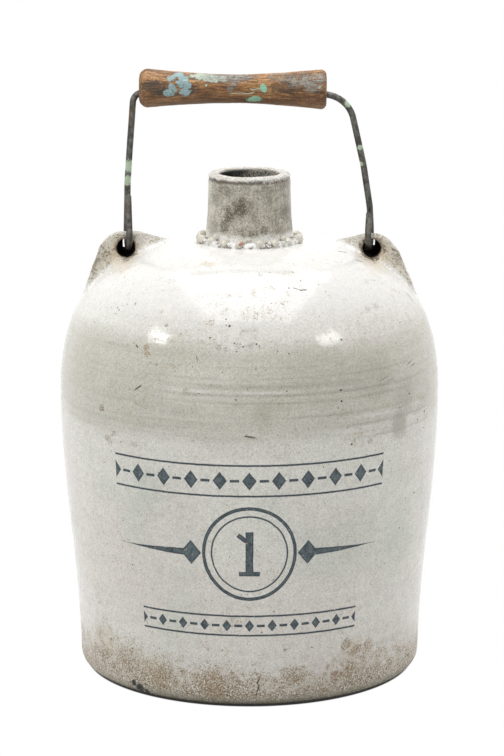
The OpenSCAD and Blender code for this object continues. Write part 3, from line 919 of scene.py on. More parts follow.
def clayMaterial(name, kind):  # kind is body, neck, bead or ear
    material, tree, place = newMaterial(name)
    x, y, z = split(place)
    reach = (x * x + y * y).math("SQRT")
    angle = x.math("ARCTAN2", y * -1)
    tint = ramp(cloud(place, 16, 2.0, 0.5, 1.0), 0.35, 0.65)
    colour = mixColour(tint, glaze["cream"], glaze["pink"])
    colour = mixColour(ramp(cloud(place, 20, 2.0, 0.5, 2.0), 0.5, 0.75) * 0.8, colour, glaze["green"])
    upper = ramp(z, glaze["whiteFrom"], glaze["whiteTo"])
    colour = mixColour(upper * 0.9, colour, glaze["white"])
    # painted light: the shoulder, neck foot and bead are made whiter near the neck
    colour = mixColour(ramp(reach, glaze["paintedLightFrom"], glaze["paintedLightTo"]) * upper, colour, glaze["paintedLight"])
    fine = cloud(place, 1150, 2.0, 0.75, 5.5)
    mottle = cloud(place, 260, 3.0, 0.65, 5.0)
    # greyer band round the turn of the shoulder, with turning streaks
    streak = cloud(place, 1.0, 4.0, 0.7, 3.0, (7, 7, 300))
    bandHeight = z + (cloud(place, 22, 3.0, 0.6, 3.5) - 0.5) * 20 * mm + streak.sway(10 * mm)
    inBand = (ramp(bandHeight, glaze["bandFrom"] - 4 * mm, glaze["bandFrom"] + 8 * mm)
              * ramp(bandHeight, glaze["bandTo"] + 9 * mm, glaze["bandTo"] - 3 * mm))
    bandTone = mixColour(ramp(streak + mottle.sway(0.5), 0.45, 0.75), glaze["band"], glaze["bandDark"])
    colour = mixColour(inBand * 0.8, colour, bandTone)
    fineGrain, softGrain = glaze["grain"][kind]
    grain = fine.sway(fineGrain) + mottle.sway(softGrain) + streak.sway(0.16)
    height = streak * 0.2 + mottle * 0.2 + fine * glaze["bumps"][kind]
    roughness = mottle * 0.06 + (glaze["roughness"] - 0.02)
    if kind == "body":
        grain = grain * (upper * -0.55 + 1)
    if kind == "neck":
        colour = neckColour(place, colour, x, z, reach, fine, mottle)
        roughness = roughness + 0.25
    if kind == "bead":
        up = z + (y * -1).above(0.0) * -bead["frontRise"] - (topHeight + bead["rollHeight"])
        proud = ((reach - bead["ringRadius"]) ** 2 + up ** 2).math("SQRT")
        lump = ramp(proud - bead["rollRadius"] + mottle.sway(2.0 * mm), -0.1 * mm, 0.7 * mm)
        colour = mixColour(lump * 0.75, colour, glaze["lump"])
        # painted shade in the crevices where the lumps meet the roll, together with dark dirt specks
        paintedCreviceShade = ramp(abs(proud - (bead["rollRadius"] + 0.2 * mm)), 0.7 * mm, 0.2 * mm)
        dirt = ramp(fine * 0.6 + mottle * 0.6 + paintedCreviceShade * 0.1, 0.69, 0.77)
        colour = mixColour(dirt * 0.85, colour, glaze["smudge"])
        rust = spot(place, bead["rust"], bead["rustReach"], 1.2, mottle, fine)
        colour = mixColour(rust * 0.8, colour, glaze["rust"])
        roughness = roughness + 0.2
    if kind == "ear":
        a = (reach - body["topRadius"]).above(0) / (bodyRadius - body["topRadius"])
        b = (z - seamHeight).above(0) / shoulderRise
        n = body["fullness"]
        proud = ((a ** n + b ** n) ** (1 / n) - 1) * shoulderRise
        patch = ramp(mottle.sway(1.2) + fine.sway(1.6) + (cloud(place, 90, 3.0, 0.6, 12.0) - 0.5) * 1.4,
                     -0.16, 0.22)
        grey = mixColour(patch, glaze["ear"], glaze["earDark"])
        grey = mixColour(ramp(fine + mottle.sway(0.7), 0.60, 0.72) * 0.55, grey, glaze["smudge"])
        onEar = ramp(proud + mottle.sway(2.0 * mm), 0.3 * mm, 2.0 * mm)
        footHeight = topHeight - ear["footDrop"]
        onEar = onEar * ramp(z + mottle.sway(14 * mm), footHeight + 1 * mm, footHeight + 8 * mm)
        rim = Field(addNode(tree, "ShaderNodeAttribute", attribute_name="rim").outputs["Fac"])
        outer = ramp(abs(x) + (z - seamHeight) * -0.4, 22 * mm, 36 * mm)
        colour = mixColour(onEar * (outer * 0.35 + 0.65), colour, grey)
        edge = ramp(rim + mottle.sway(3.0 * mm), 3.0 * mm, 0.2 * mm) * ramp(fine, 0.44, 0.62)
        colour = mixColour(edge * onEar * 0.75, colour, glaze["smudge"])
        roughness = roughness + onEar * 0.3
        height = height * (onEar * 0.8 + 0.2)
    if kind == "body":
        colour, height, extra = bodyColour(place, colour, height, angle, z, fine, mottle)
        roughness = roughness + extra
        # painted shade inside the shoulder's hole
        under = ramp(reach - body["holeRadius"], 2 * mm, 1 * mm) * ramp(z - glaze["paintedShadeFrom"], 0.0, 10 * mm)
        colour = mixColour(under, colour, glaze["darkBreakAndShade"])
    holes = []
    for centre in (leftHole, rightHole):
        offset = vectorMath("SUBTRACT", place, tuple(centre))
        offset = vectorMath("MULTIPLY", offset, (1, 0.3, 1))
        holes.append(vectorMath("LENGTH", offset))
    hole = holes[0].below(holes[1])
    near = hole + mottle.sway(9 * mm)
    halo = ramp(near + (z - leftHole.z) * 0.4 - glaze["haloReach"], 0.0, -6 * mm)
    colour = mixColour(halo * 0.4, colour, glaze["ochre"])
    ring = ramp(near + fine.sway(5 * mm) - glaze["ringReach"], 0.0, -2.2 * mm)
    colour = mixColour(ring * 0.85, colour, glaze["holeRing"])
    # iron specks of four sizes
    crowd = ramp(cloud(place, 55, 3.0, 0.7, 19.0), 0.5, 0.7)
    for pitch, share, size, seed, tone, strength in (
            (1.7, 0.5, 0.32, 20, "pepper", crowd * 0.6 + 0.3), (2.8, 0.5, 0.38, 23, "speckBrown", 0.8),
            (6.0, 0.5, 0.5, 21, "speckDark", 0.9), (15, 0.35, 0.75, 22, "speckBrown", 0.85)):
        found = specks(place, pitch * mm, share, size * mm, seed)
        colour = mixColour(found * strength, colour, glaze[tone])
        height = height - found * 0.3
    # painted shade: the ear holes are painted near black and reflect less
    paintedHoleShade = ramp(hole, holeRadius, holeRadius - 0.5 * mm)
    colour = mixColour(paintedHoleShade, washed(tree, colour, grain + 1), glaze["darkBreakAndShade"])
    roughness = roughness + paintedHoleShade * 0.6
    closeMaterial(tree, height, 0.25 * mm, {"Base Color": colour, "Roughness": roughness, "IOR": 1.5,
                                            "Specular IOR Level": paintedHoleShade * -0.45 + 0.5})
    return material


bodyGlaze = clayMaterial("bodyGlaze", "body")
stoneware = spinPiece("stonewareBody", bodyProfile(), bodyGlaze, body["spin"])
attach(stoneware, "jug")
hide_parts("lower_body", "shoulder")
print("body ready")


# Neck, with a rounded lip and a straight mouth

neck = {
    "topRadius": 20.0 * mm,
    "mouthRadius": 14.6 * mm,
    "short": 0.7 * mm,  # the photo's mouth sits this much lower than the plain solid
    "flare": 3,
    "lipRound": 1.5 * mm,
    "mouthRound": 1.0 * mm,
    "grooveDrop": 3.2 * mm,
    "grooveDepth": 0.35 * mm,
    "grooveWidth": 0.8 * mm,
    "rows": 60,
    "lipSteps": 8,
    "mouthSteps": 6,
    "step": 0.45 * mm,
    "insideStep": 2 * mm,
    "spin": {
        "Columns": 300, "Sway": 0.5 * mm, "Sway Scale": 70.0, "Rings": 0.22 * mm,
        "Ring Stretch": (90.0, 90.0, 160.0), "Grain": 0.36 * mm, "Grain Scale": 520.0,
        "Lift": 0.46 * mm, "Still Below": topHeight, "Seed": 8.0,
    },
    "smudges": [  # degrees, height and reach in mm, strength
        (-12.0, 229.8, 5.0, 0.9),
        (-15.0, 227.6, 3.6, 0.8),
        (-27.5, 226.2, 4.6, 0.8),
        (-35.0, 219.8, 3.4, 0.7),
        (-32.0, 223.5, 2.4, 0.5),
        (19.5, 218.8, 2.4, 0.6),
        (2.0, 216.5, 2.0, 0.6),
        (8.0, 217.0, 2.0, 0.55),
        (-55.0, 232.0, 3.4, 0.4),
        (58.0, 224.5, 4.0, 0.35),
        (150.0, 226.0, 5.0, 0.5),
    ],
}


def neckRadius(z):
    share = min((z - topHeight) / (mouthHeight - topHeight), 1)
    flare = (neckFootRadius - neck["topRadius"]) * (1 - share) ** neck["flare"]
    fromGroove = (mouthHeight - neck["grooveDrop"] - z) / neck["grooveWidth"]
    return neck["topRadius"] + flare - neck["grooveDepth"] * math.exp(-fromGroove ** 2)


def neckProfile():
    lip, edge = neck["lipRound"], neck["mouthRound"]
    top = mouthHeight - neck["short"]
    outside = [(neckRadius(z), z) for z in np.linspace(topHeight, top - lip, neck["rows"])]
    roundLip = arc(neckRadius(top - lip) - lip, top - lip, lip, 0, 90, neck["lipSteps"])
    roundMouth = arc(neck["mouthRadius"] + edge, top - edge, edge, 90, 180, neck["mouthSteps"])
    line = evenly(chain(outside, roundLip, roundMouth), neck["step"])
    inside = evenly([line[-1], (neck["mouthRadius"], topHeight)], neck["insideStep"])
    return chain(line, inside, [line[0]])


neckGlaze = clayMaterial("neckGlaze", "neck")
neckPiece = spinPiece("neckAndLip", neckProfile(), neckGlaze, neck["spin"])
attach(neckPiece, "jug")
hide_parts("neck")
print("neck ready")


# Luting bead: a roll of clay pressed on in lumps round the foot of the neck

bead = {
    "rollRadius": 2.3 * mm,
    "ringRadius": 23.2 * mm,
    "rollHeight": -0.2 * mm,
    "frontRise": 0.02,  # the roll climbs the neck a little at the front
    "lumps": [  # count, then ring radius, height over the shoulder, radius and jitter in mm
        (18, 24.3, 1.4, 2.55, 0.6),
        (7, 25.0, 0.9, 1.4, 0.9),
        (8, 22.4, 3.2, 1.3, 0.8),
    ],
    "smallest": (0.85, 0.85, 0.75),
    "largest": (1.15, 1.15, 0.95),
    "around": 360,
    "section": 28,
    "lumpDetail": 4,
    "bulge": 1.2 * mm,
    "bulgeScale": 190,
    "roughDepth": 0.5 * mm,
    "roughScale": 420,
    "rust": (-3.7 * mm, -26.2 * mm, topHeight + 2.9 * mm),
    "rustReach": 1.9 * mm,
}


def curveCircle(tree, sides, radius):
    made = addNode(tree, "GeometryNodeCurvePrimitiveCircle", {"Resolution": sides, "Radius": radius})
    return made.outputs[0]


def randomVector(tree, low, high, seed):
    made = addNode(tree, "FunctionNodeRandomValue", data_type="FLOAT_VECTOR")
    for name, value in {"Min": low, "Max": high, "Seed": seed}.items():
        plug(value, made.inputs[name])
    return Field(made.outputs[0])


def beadTree():
    tree, given, result = newTree("lutingBead", {
        "Ring Radius": "Float", "Roll Radius": "Float", "Height": "Float", "Bulge": "Float",
        "Rough Depth": "Float", "Seed": "Int", "Material": "Material"})
    ring = curveCircle(tree, bead["around"], given["Ring Radius"])
    section = curveCircle(tree, bead["section"], given["Roll Radius"])
    roll = addNode(tree, "GeometryNodeCurveToMesh", {"Curve": ring, "Profile Curve": section})
    rollHeight = Field(given["Height"]) + bead["rollHeight"]
    raised = addNode(tree, "GeometryNodeTransform", {"Geometry": roll.outputs[0],
                                                     "Translation": join(0.0, 0.0, rollHeight)})
    both = tree.nodes.new("GeometryNodeJoinGeometry")
    plug(raised.outputs[0], both.inputs[0])
    for index, (count, *lengths) in enumerate(bead["lumps"]):
        radius, up, size, jitter = [length * mm for length in lengths]
        seed = Field(given["Seed"]) + 10.0 * index
        spots = addNode(tree, "GeometryNodeMeshCircle", {"Vertices": count, "Radius": radius})
        shift = randomVector(tree, (-jitter, -jitter, up - jitter / 2),
                             (jitter, jitter, up + jitter / 2), seed)
        lifted = vectorMath("ADD", shift, join(0.0, 0.0, Field(given["Height"])))
        ball = addNode(tree, "GeometryNodeMeshIcoSphere", {"Radius": size,
                                                           "Subdivisions": bead["lumpDetail"]})
        lumps = addNode(tree, "GeometryNodeInstanceOnPoints", {
            "Points": moved(tree, spots.outputs[0], lifted), "Instance": ball.outputs[0],
            "Scale": randomVector(tree, bead["smallest"], bead["largest"], seed + 5.0)})
        realLumps = addNode(tree, "GeometryNodeRealizeInstances", {0: lumps.outputs[0]})
        plug(realLumps.outputs[0], both.inputs[0])
    place = position(tree)
    rise = (split(place)[1] * -1).above(0.0) * bead["frontRise"]
    tilted = moved(tree, both.outputs[0], join(0.0, 0.0, rise))
    depth = (cloud(place, bead["bulgeScale"], 1.0, 0.5, 1.0).sway(given["Bulge"])
             + cloud(place, bead["roughScale"], 3.0, 0.65, 2.0).sway(given["Rough Depth"]))
    return endTree(tree, tilted, depth, given, result)


beadGlaze = clayMaterial("beadGlaze", "bead")
beadPiece = meshObject("lutingBead", [(0, 0, 0)])
runTree(beadPiece, beadTree(), {
    "Ring Radius": bead["ringRadius"], "Roll Radius": bead["rollRadius"], "Height": topHeight,
    "Bulge": bead["bulge"], "Rough Depth": bead["roughDepth"], "Seed": 5, "Material": beadGlaze})
finishMesh(beadPiece, beadGlaze, sharpAngle=120)
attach(beadPiece, "jug")
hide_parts("luting_bead")
print("bead ready")


# Sizes of the bail, which the ears leave room for

bail = {
    "wire": 1.62 * mm,
    "eyeInset": 1.0 * mm,
    "eyeTurn": 8,
    "leftEyeAngle": 15,
    "rightEyeAngle": 30,
    "leftBend": 5 * mm,
    "rightBend": 15 * mm,
    "leftOverhang": 2.7 * mm,
    "rightOverhang": 10.9 * mm,
    "kneeRise": 33.7 * mm,
    "kneeInset": 3.2 * mm,
    "kneeBend": 60 * mm,
    "kinkBend": 10 * mm,
    "tailGap": 0.3 * mm,
    "gripLength": 90.3 * mm,
    "gripTilt": 0.45,
    "bowRise": 1.85 * mm,
    "lead": 3.5 * mm,
    "step": 0.7 * mm,
    "sides": 20,
    "uneven": 0.07,
    "unevenScale": 230,
    "waver": 0.25 * mm,
    "waverScale": 45.0,
    "pitDepth": 0.16 * mm,
    "pitScale": 900,
}


# Ears: pierced slabs of clay that flow into the shoulder

ear = {
    "thickness": 8 * mm,
    "edgeRound": 2.4 * mm,
    "holeRound": 0.7 * mm,
    "pocketRadius": 4.4 * mm,
    "pocketDepth": 1.0 * mm,  # the round hole goes in from the front to this side of the middle
    "slotHalf": 2.85 * mm,  # and then narrows to a slot that follows the swing of the wire
    "slotReach": 2.0 * mm,
    "legRoom": 0.35 * mm,  # and the clay behind has a groove where the leg comes to rest
    "legOut": 0.78 * mm,
    "fillet": 6.0 * mm,
    "backFillet": 14.0 * mm,  # more clay was smeared behind each ear than in front
    "sink": 0.25 * mm,
    "depthInside": 2.5 * mm,
    "voxel": 0.45 * mm,
    "margin": 15 * mm,
    "lumpScale": 170,
    "lumpDepth": 0.3 * mm,
    "gritScale": 700,
    "gritDepth": 0.14 * mm,
    "seed": 3,  # without it the noise would start from the clock
    "outlines": {  # round corners in mm: outwards from the hole, up from the hole, radius
        "ear_left": [(0.6, -5.9, 13.6), (-3.4, -5.0, 12.6)],
        "ear_right": [(0.2, -5.6, 12.4), (11.2, -4.6, 3.2)],
    },
    "footRadius": 3 * mm,
    "footDrop": 27 * mm,
}


def smoothLess(a, b, blend):  # the lower of two distances, blended where they are close
    share = np.clip(0.5 + 0.5 * (b - a) / blend, 0, 1)
    return b + (a - b) * share - blend * share * (1 - share)


def smoothMore(a, b, blend):
    return -smoothLess(-a, -b, blend)


def outlineDistance(x, z, circles):  # distance to the hull of some circles, by the lines that touch it
    best = np.full(x.shape, -1e9)
    for a in np.radians(np.arange(0, 360, 2)):
        reach = max(cx * math.cos(a) + cz * math.sin(a) + r for cx, cz, r in circles)
        best = np.maximum(best, x * math.cos(a) + z * math.sin(a) - reach)
    return best


def shoulderDistance(x, y, z, step):
    a = np.maximum(np.hypot(x, y) - body["topRadius"], 0) / (bodyRadius - body["topRadius"])
    b = np.maximum(z - seamHeight, 0) / shoulderRise
    n = body["fullness"]
    level = (a ** n + b ** n) ** (1 / n) - 1
    slope = np.sqrt(sum(part ** 2 for part in np.gradient(level, step)))
    return level / np.maximum(slope, 1)


def earOutline(name, hole, side, x, z):
    footHeight = topHeight - ear["footDrop"]
    footX = side * (shoulderRadius(footHeight) - ear["footRadius"])
    circles = [(footX, footHeight, ear["footRadius"]), (hole.x, footHeight, ear["footRadius"])]
    for out, up, radius in ear["outlines"][name]:
        circles.append((hole.x + side * out * mm, hole.z + up * mm, radius * mm))
    return outlineDistance(x, z, circles)


def earField(name, hole, side, x, y, z, step):
    edge = ear["edgeRound"]
    a = earOutline(name, hole, side, x[:, :1, :], z[:, :1, :]) + edge
    b = np.abs(y) - ear["thickness"] / 2 + edge
    slab = np.minimum(np.maximum(a, b), 0) + np.hypot(np.maximum(a, 0), np.maximum(b, 0)) - edge
    surface = shoulderDistance(x, y, z, step) + ear["sink"]
    behind = np.clip(y / ear["thickness"] + 0.3, 0, 1)
    fillet = ear["fillet"] + (ear["backFillet"] - ear["fillet"]) * behind
    field = smoothLess(slab, surface, fillet)
    outward = np.clip(side * (x - hole.x) / ear["fillet"] + 1, 0, 1)
    field = np.maximum(field, a - edge - (1 - outward) * ear["fillet"])
    field = np.maximum(field, -surface - ear["depthInside"])
    pocket = np.maximum(np.hypot(x - hole.x, z - hole.z) - ear["pocketRadius"], y - ear["pocketDepth"])
    sweep = np.abs(np.hypot(y, z - hingeHeight) - (hingeHeight - hole.z)) - ear["slotReach"]
    outwards = side * (x - hole.x) + bail["eyeInset"]
    slot = np.maximum(sweep, np.abs(outwards) - ear["slotHalf"])
    turn = swingLimit - math.radians(bail["leftEyeAngle" if side < 0 else "rightEyeAngle"])
    legSide = (hingeHeight - z) * math.sin(turn) + y * math.cos(turn) - (hingeHeight - hole.z)
    room = bail["wire"] + ear["legRoom"]
    groove = np.maximum(legSide, np.abs(outwards - ear["legOut"])) - room
    groove = np.maximum(groove, ear["pocketDepth"] - y)
    return smoothMore(field, -np.minimum(np.minimum(pocket, slot), groove), ear["holeRound"])


def skinOf(field, origin, step):  # a closed mesh where a field of distances crosses zero
    inside = field < 0
    shape = np.array(field.shape) - 1
    corners = [(i, j, k) for i in (0, 1) for j in (0, 1) for k in (0, 1)]

    def at(values, corner):
        return values[tuple(slice(c, c + s) for c, s in zip(corner, shape))]

    total = np.zeros((*shape, 3))
    hits = np.zeros(shape)
    for first in corners:
        for axis in range(3):
            if first[axis]:
                continue
            second = tuple(1 if i == axis else c for i, c in enumerate(first))
            a, b = at(field, first), at(field, second)
            crosses = (a < 0) != (b < 0)
            share = np.where(crosses, a / np.where(crosses, a - b, 1), 0)
            for i in range(3):
                total[..., i] += crosses * (first[i] + (share if i == axis else 0))
            hits += crosses
    active = hits > 0
    number = np.full(shape, -1)
    number[active] = np.arange(active.sum())
    cells = np.argwhere(active)
    points = origin + step * (cells + total[active] / hits[active][:, None])
    faces = []
    for axis in range(3):
        u, v = (axis + 1) % 3, (axis + 2) % 3
        near = [slice(1, s) for s in shape]
        near[axis] = slice(0, shape[axis])
        far = list(near)
        far[axis] = slice(1, shape[axis] + 1)
        a, b = inside[tuple(near)], inside[tuple(far)]
        for edge in np.argwhere(a != b):
            cell = edge.copy()
            cell[u] += 1
            cell[v] += 1
            corner = []
            for back in ((0, 0), (1, 0), (1, 1), (0, 1)):
                found = cell.copy()
                found[u] -= back[0]
                found[v] -= back[1]
                corner.append(int(number[tuple(found)]))
            faces.append(corner if a[tuple(edge)] else corner[::-1])
    return points, faces


def makeEar(name, hole, side):
    step = ear["voxel"]
    low, high = (np.array(corner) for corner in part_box(name))
    low, high = low - ear["margin"], high + ear["margin"]
    axes = [np.arange(a, b, step) for a, b in zip(low, high)]
    x, y, z = np.meshgrid(*axes, indexing="ij")
    points, faces = skinOf(earField(name, hole, side, x, y, z, step), low, step)
    rim = -earOutline(name, hole, side, points[:, 0], points[:, 2])
    lumpy = []
    for point in points:
        p = Vector(point)
        lumpy.append(p + noise.noise_vector(p * ear["lumpScale"]) * ear["lumpDepth"]
                     + noise.noise_vector(p * ear["gritScale"]) * ear["gritDepth"])
    made = meshObject(name.title().replace("_", "") + "Clay", lumpy, faces=faces)
    made.data.attributes.new("rim", "FLOAT", "POINT").data.foreach_set("value", rim)
    finishMesh(made, earGlaze, sharpAngle=120)
    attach(made, "jug")
    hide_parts(name)


earGlaze = clayMaterial("earGlaze", "ear")
noise.seed_set(ear["seed"])
makeEar("ear_left", leftHole, -1)
makeEar("ear_right", rightHole, 1)
print("ears ready")


# Bail: one length of wire, from the left eye over the grip to the right eye

gripMiddle = Vector(gripJoint["pos_m"])


def filleted(corners, radii):  # a line with an arc of its own radius at each corner
    points = [corners[0]]
    for i in range(1, len(corners) - 1):
        d = (corners[i] - corners[i - 1]).normalized()
        e = (corners[i + 1] - corners[i]).normalized()
        turn = d.angle(e)
        back = radii[i] * math.tan(turn / 2)
        inward = (e - d * d.dot(e)).normalized()
        start = corners[i] - d * back
        centre = start + inward * radii[i]
        steps = max(3, int(turn * radii[i] / bail["step"]))
        for k in range(steps + 1):
            a = turn * k / steps
            points.append(centre - inward * radii[i] * math.cos(a) + d * radii[i] * math.sin(a))
    return points + [corners[-1]]


def eyeCorners(hole, side, angle):  # from the tail in front of the ear, under its rim, to the leg behind
    a, turn, radius = math.radians(angle), math.radians(bail["eyeTurn"]), hingeHeight - hole.z
    gap = bail["wire"] + bail["tailGap"]

    def at(back, up):
        return Vector((hole.x - side * bail["eyeInset"] + side * back * math.sin(turn),
                       back * math.cos(turn), hingeHeight + up))

    corners = [at(-gap, radius / math.sin(a) - gap / math.tan(a))]
    sweep = (math.pi + 2 * a) / 3
    for i in range(3):
        b = math.pi - a + sweep * (i + 0.5)
        reach = radius / math.cos(sweep / 2)
        corners.append(at(reach * math.cos(b), reach * math.sin(b)))
    return corners + [at(0, radius / math.sin(a))]


def bailLine():
    tilt = math.radians(bail["gripTilt"])
    half = bail["gripLength"] / 2 - bail["lead"]
    rise = bail["bowRise"]
    bowRadius = (half * half + 4 * rise * rise) / (4 * rise)
    fall = math.tan(math.asin(half / bowRadius))
    drop = rise + bail["lead"] * fall

    def at(along, above):
        return gripMiddle + Vector((along * math.cos(tilt) + above * math.sin(tilt), 0,
                                    -along * math.sin(tilt) + above * math.cos(tilt)))

    end = bail["gripLength"] / 2
    left, right = bail["leftOverhang"], bail["rightOverhang"]
    corners = eyeCorners(leftHole, -1, bail["leftEyeAngle"]) + [
        at(-end - left, -drop - left * fall),
        at(0, half * fall - rise),
        at(end + right, -drop - right * fall),
        Vector((rightHole.x - bail["eyeInset"] - bail["kneeInset"], 0, hingeHeight + bail["kneeRise"]))]
    corners += eyeCorners(rightHole, 1, bail["rightEyeAngle"])[::-1]
    eye = hingeHeight - leftHole.z
    radii = [0, eye, eye, eye, bail["kinkBend"], bail["leftBend"], bowRadius, bail["rightBend"],
             bail["kneeBend"], bail["kinkBend"], eye, eye, eye, 0]
    return filleted(corners, radii)


def wireTree():
    tree, given, result = newTree("bailWire", {
        "Step": "Float", "Wire": "Float", "Sides": "Int", "Uneven": "Float", "Waver": "Float",
        "Seed": "Float", "Material": "Material"})
    line = addNode(tree, "GeometryNodeMeshToCurve", {0: given["Geometry"]})
    even = addNode(tree, "GeometryNodeResampleCurve", mode="LENGTH")
    plug(line.outputs[0], even.inputs["Curve"])
    plug(given["Step"], even.inputs["Length"])
    place = position(tree)
    waver = addNode(tree, "ShaderNodeTexNoise", {"Vector": place, "Scale": bail["waverScale"],
                                                 "Detail": 1.0})
    centred = vectorMath("SUBTRACT", Field(waver.outputs["Color"]), (0.5, 0.5, 0.5))
    bent = moved(tree, even.outputs[0], times(tree, centred, given["Waver"]))
    thick = (cloud(place, bail["unevenScale"], 2.0, 0.5, given["Seed"]) - 0.75) * given["Uneven"] + 1
    sized = addNode(tree, "GeometryNodeSetCurveRadius", {"Curve": bent, "Radius": thick})
    tube = addNode(tree, "GeometryNodeCurveToMesh", {
        "Curve": sized.outputs[0], "Profile Curve": curveCircle(tree, given["Sides"], given["Wire"]),
        "Fill Caps": True})
    pits = (cloud(place, bail["pitScale"], 3.0, 0.6, given["Seed"]) - 0.8) * bail["pitDepth"]
    return endTree(tree, tube.outputs[0], pits, given, result)


iron = {
    "dark": srgb(64, 62, 58),
    "light": srgb(112, 110, 104),
    "rust": srgb(104, 78, 54),
    "paint": srgb(176, 196, 168),
    "chips": [  # x, y, z and reach in mm of the flecks of paint
        (-58.9, -1, 247, 3.6),
        (-58.8, -1.5, 240, 3.0),
        (-58.9, -1, 232, 1.8),
        (47.3, -1, 277.3, 2.0),
        (53.5, -1, 256, 1.6),
        (53.9, -1, 248, 1.4),
    ],
}


def ironMaterial():
    material, tree, place = newMaterial("bailIron")
    scale = cloud(place, 380, 4.0, 0.65, 1.0)
    fine = cloud(place, 1500, 2.0, 0.6, 2.0)
    colour = mixColour(ramp(scale, 0.35, 0.7), iron["dark"], iron["light"])
    rusty = ramp(cloud(place, 150, 4.0, 0.7, 3.0), 0.52, 0.66)
    colour = mixColour(rusty * 0.65, colour, iron["rust"])
    chips = [[size * mm for size in chip] for chip in iron["chips"]]
    paint = most([spot(place, centre, reach, 1.0, scale, fine) for *centre, reach in chips])
    colour = mixColour(paint, colour, iron["paint"])
    closeMaterial(tree, scale * 0.6 + fine * 0.4 + paint * 0.5, 0.2 * mm, {
        "Base Color": colour, "Roughness": scale * 0.3 + 0.32 + rusty * 0.2,
        "Metallic": paint.above(rusty * 0.8) * -0.75 + 0.75})
    return material


bailIron = ironMaterial()
linePoints = bailLine()
bailPiece = meshObject("bailWire", linePoints, edges=[(i, i + 1) for i in range(len(linePoints) - 1)])
runTree(bailPiece, wireTree(), {
    "Step": bail["step"], "Wire": bail["wire"], "Sides": bail["sides"], "Uneven": bail["uneven"],
    "Waver": bail["waver"], "Seed": 4.0, "Material": bailIron})
finishMesh(bailPiece, bailIron)
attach(bailPiece, "bail")
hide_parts("bail_wire")
print("bail ready")


# Grip: a turned wooden roller on the wire, worn and spattered with paint

grip = {
    "waistRadius": 6.9 * mm,
    "endRadius": 9.85 * mm,
    "waistPlace": 0.08,
    "leftFlare": 1.9,
    "rightFlare": 1.4,
    "leftRound": 4.2 * mm,
    "rightRound": 2.6 * mm,
    "boreRadius": 4 * mm,
    "sink": 2 * mm,
    "rows": 60,
    "leftSteps": 10,
    "rightSteps": 8,
    "step": 0.55 * mm,
    "boreStep": 6 * mm,
    "spin": {
        "Columns": 180, "Sway": 0.5 * mm, "Sway Scale": 70.0, "Rings": 0.3 * mm,
        "Ring Stretch": (560.0, 560.0, 36.0), "Grain": 0.22 * mm, "Grain Scale": 380.0,
        "Lift": 0.48 * mm, "Still Below": -1.0, "Seed": 12.0,  # the grip is uneven all along
    },
}
gripHalf = bail["gripLength"] / 2


def gripRadius(share):
    side = -1 if share < grip["waistPlace"] else 1
    reach = (share - grip["waistPlace"]) / (side - grip["waistPlace"])
    flare = grip["leftFlare"] if side < 0 else grip["rightFlare"]
    return grip["waistRadius"] + (grip["endRadius"] - grip["waistRadius"]) * reach ** flare


def gripProfile():
    left, right = grip["leftRound"], grip["rightRound"]
    bore, sink = grip["boreRadius"], grip["sink"]
    leftShare, rightShare = left / gripHalf - 1, 1 - right / gripHalf
    wall = [(gripRadius(s), s * gripHalf) for s in np.linspace(leftShare, rightShare, grip["rows"])]
    leftEnd = arc(gripRadius(leftShare) - left, left - gripHalf, left, -90, 0, grip["leftSteps"])
    rightEnd = arc(gripRadius(rightShare) - right, gripHalf - right, right, 0, 90, grip["rightSteps"])
    outside = chain([(bore + sink / 2, -gripHalf)], leftEnd, wall, rightEnd, [(bore + sink / 2, gripHalf)])
    inside = chain([(bore + sink / 2, gripHalf), (bore, gripHalf - sink)],
                   evenly([(bore, gripHalf - sink), (bore, sink - gripHalf)], grip["boreStep"]),
                   [(bore + sink / 2, -gripHalf)])
    return chain(evenly(outside, grip["step"]), inside)


def gripPlace(along, degrees):  # a place on the grip: along it, and up from its front
    radius, a = gripRadius(along / gripHalf), math.radians(degrees)
    return gripMiddle + Vector((along, -radius * math.cos(a), radius * math.sin(a)))


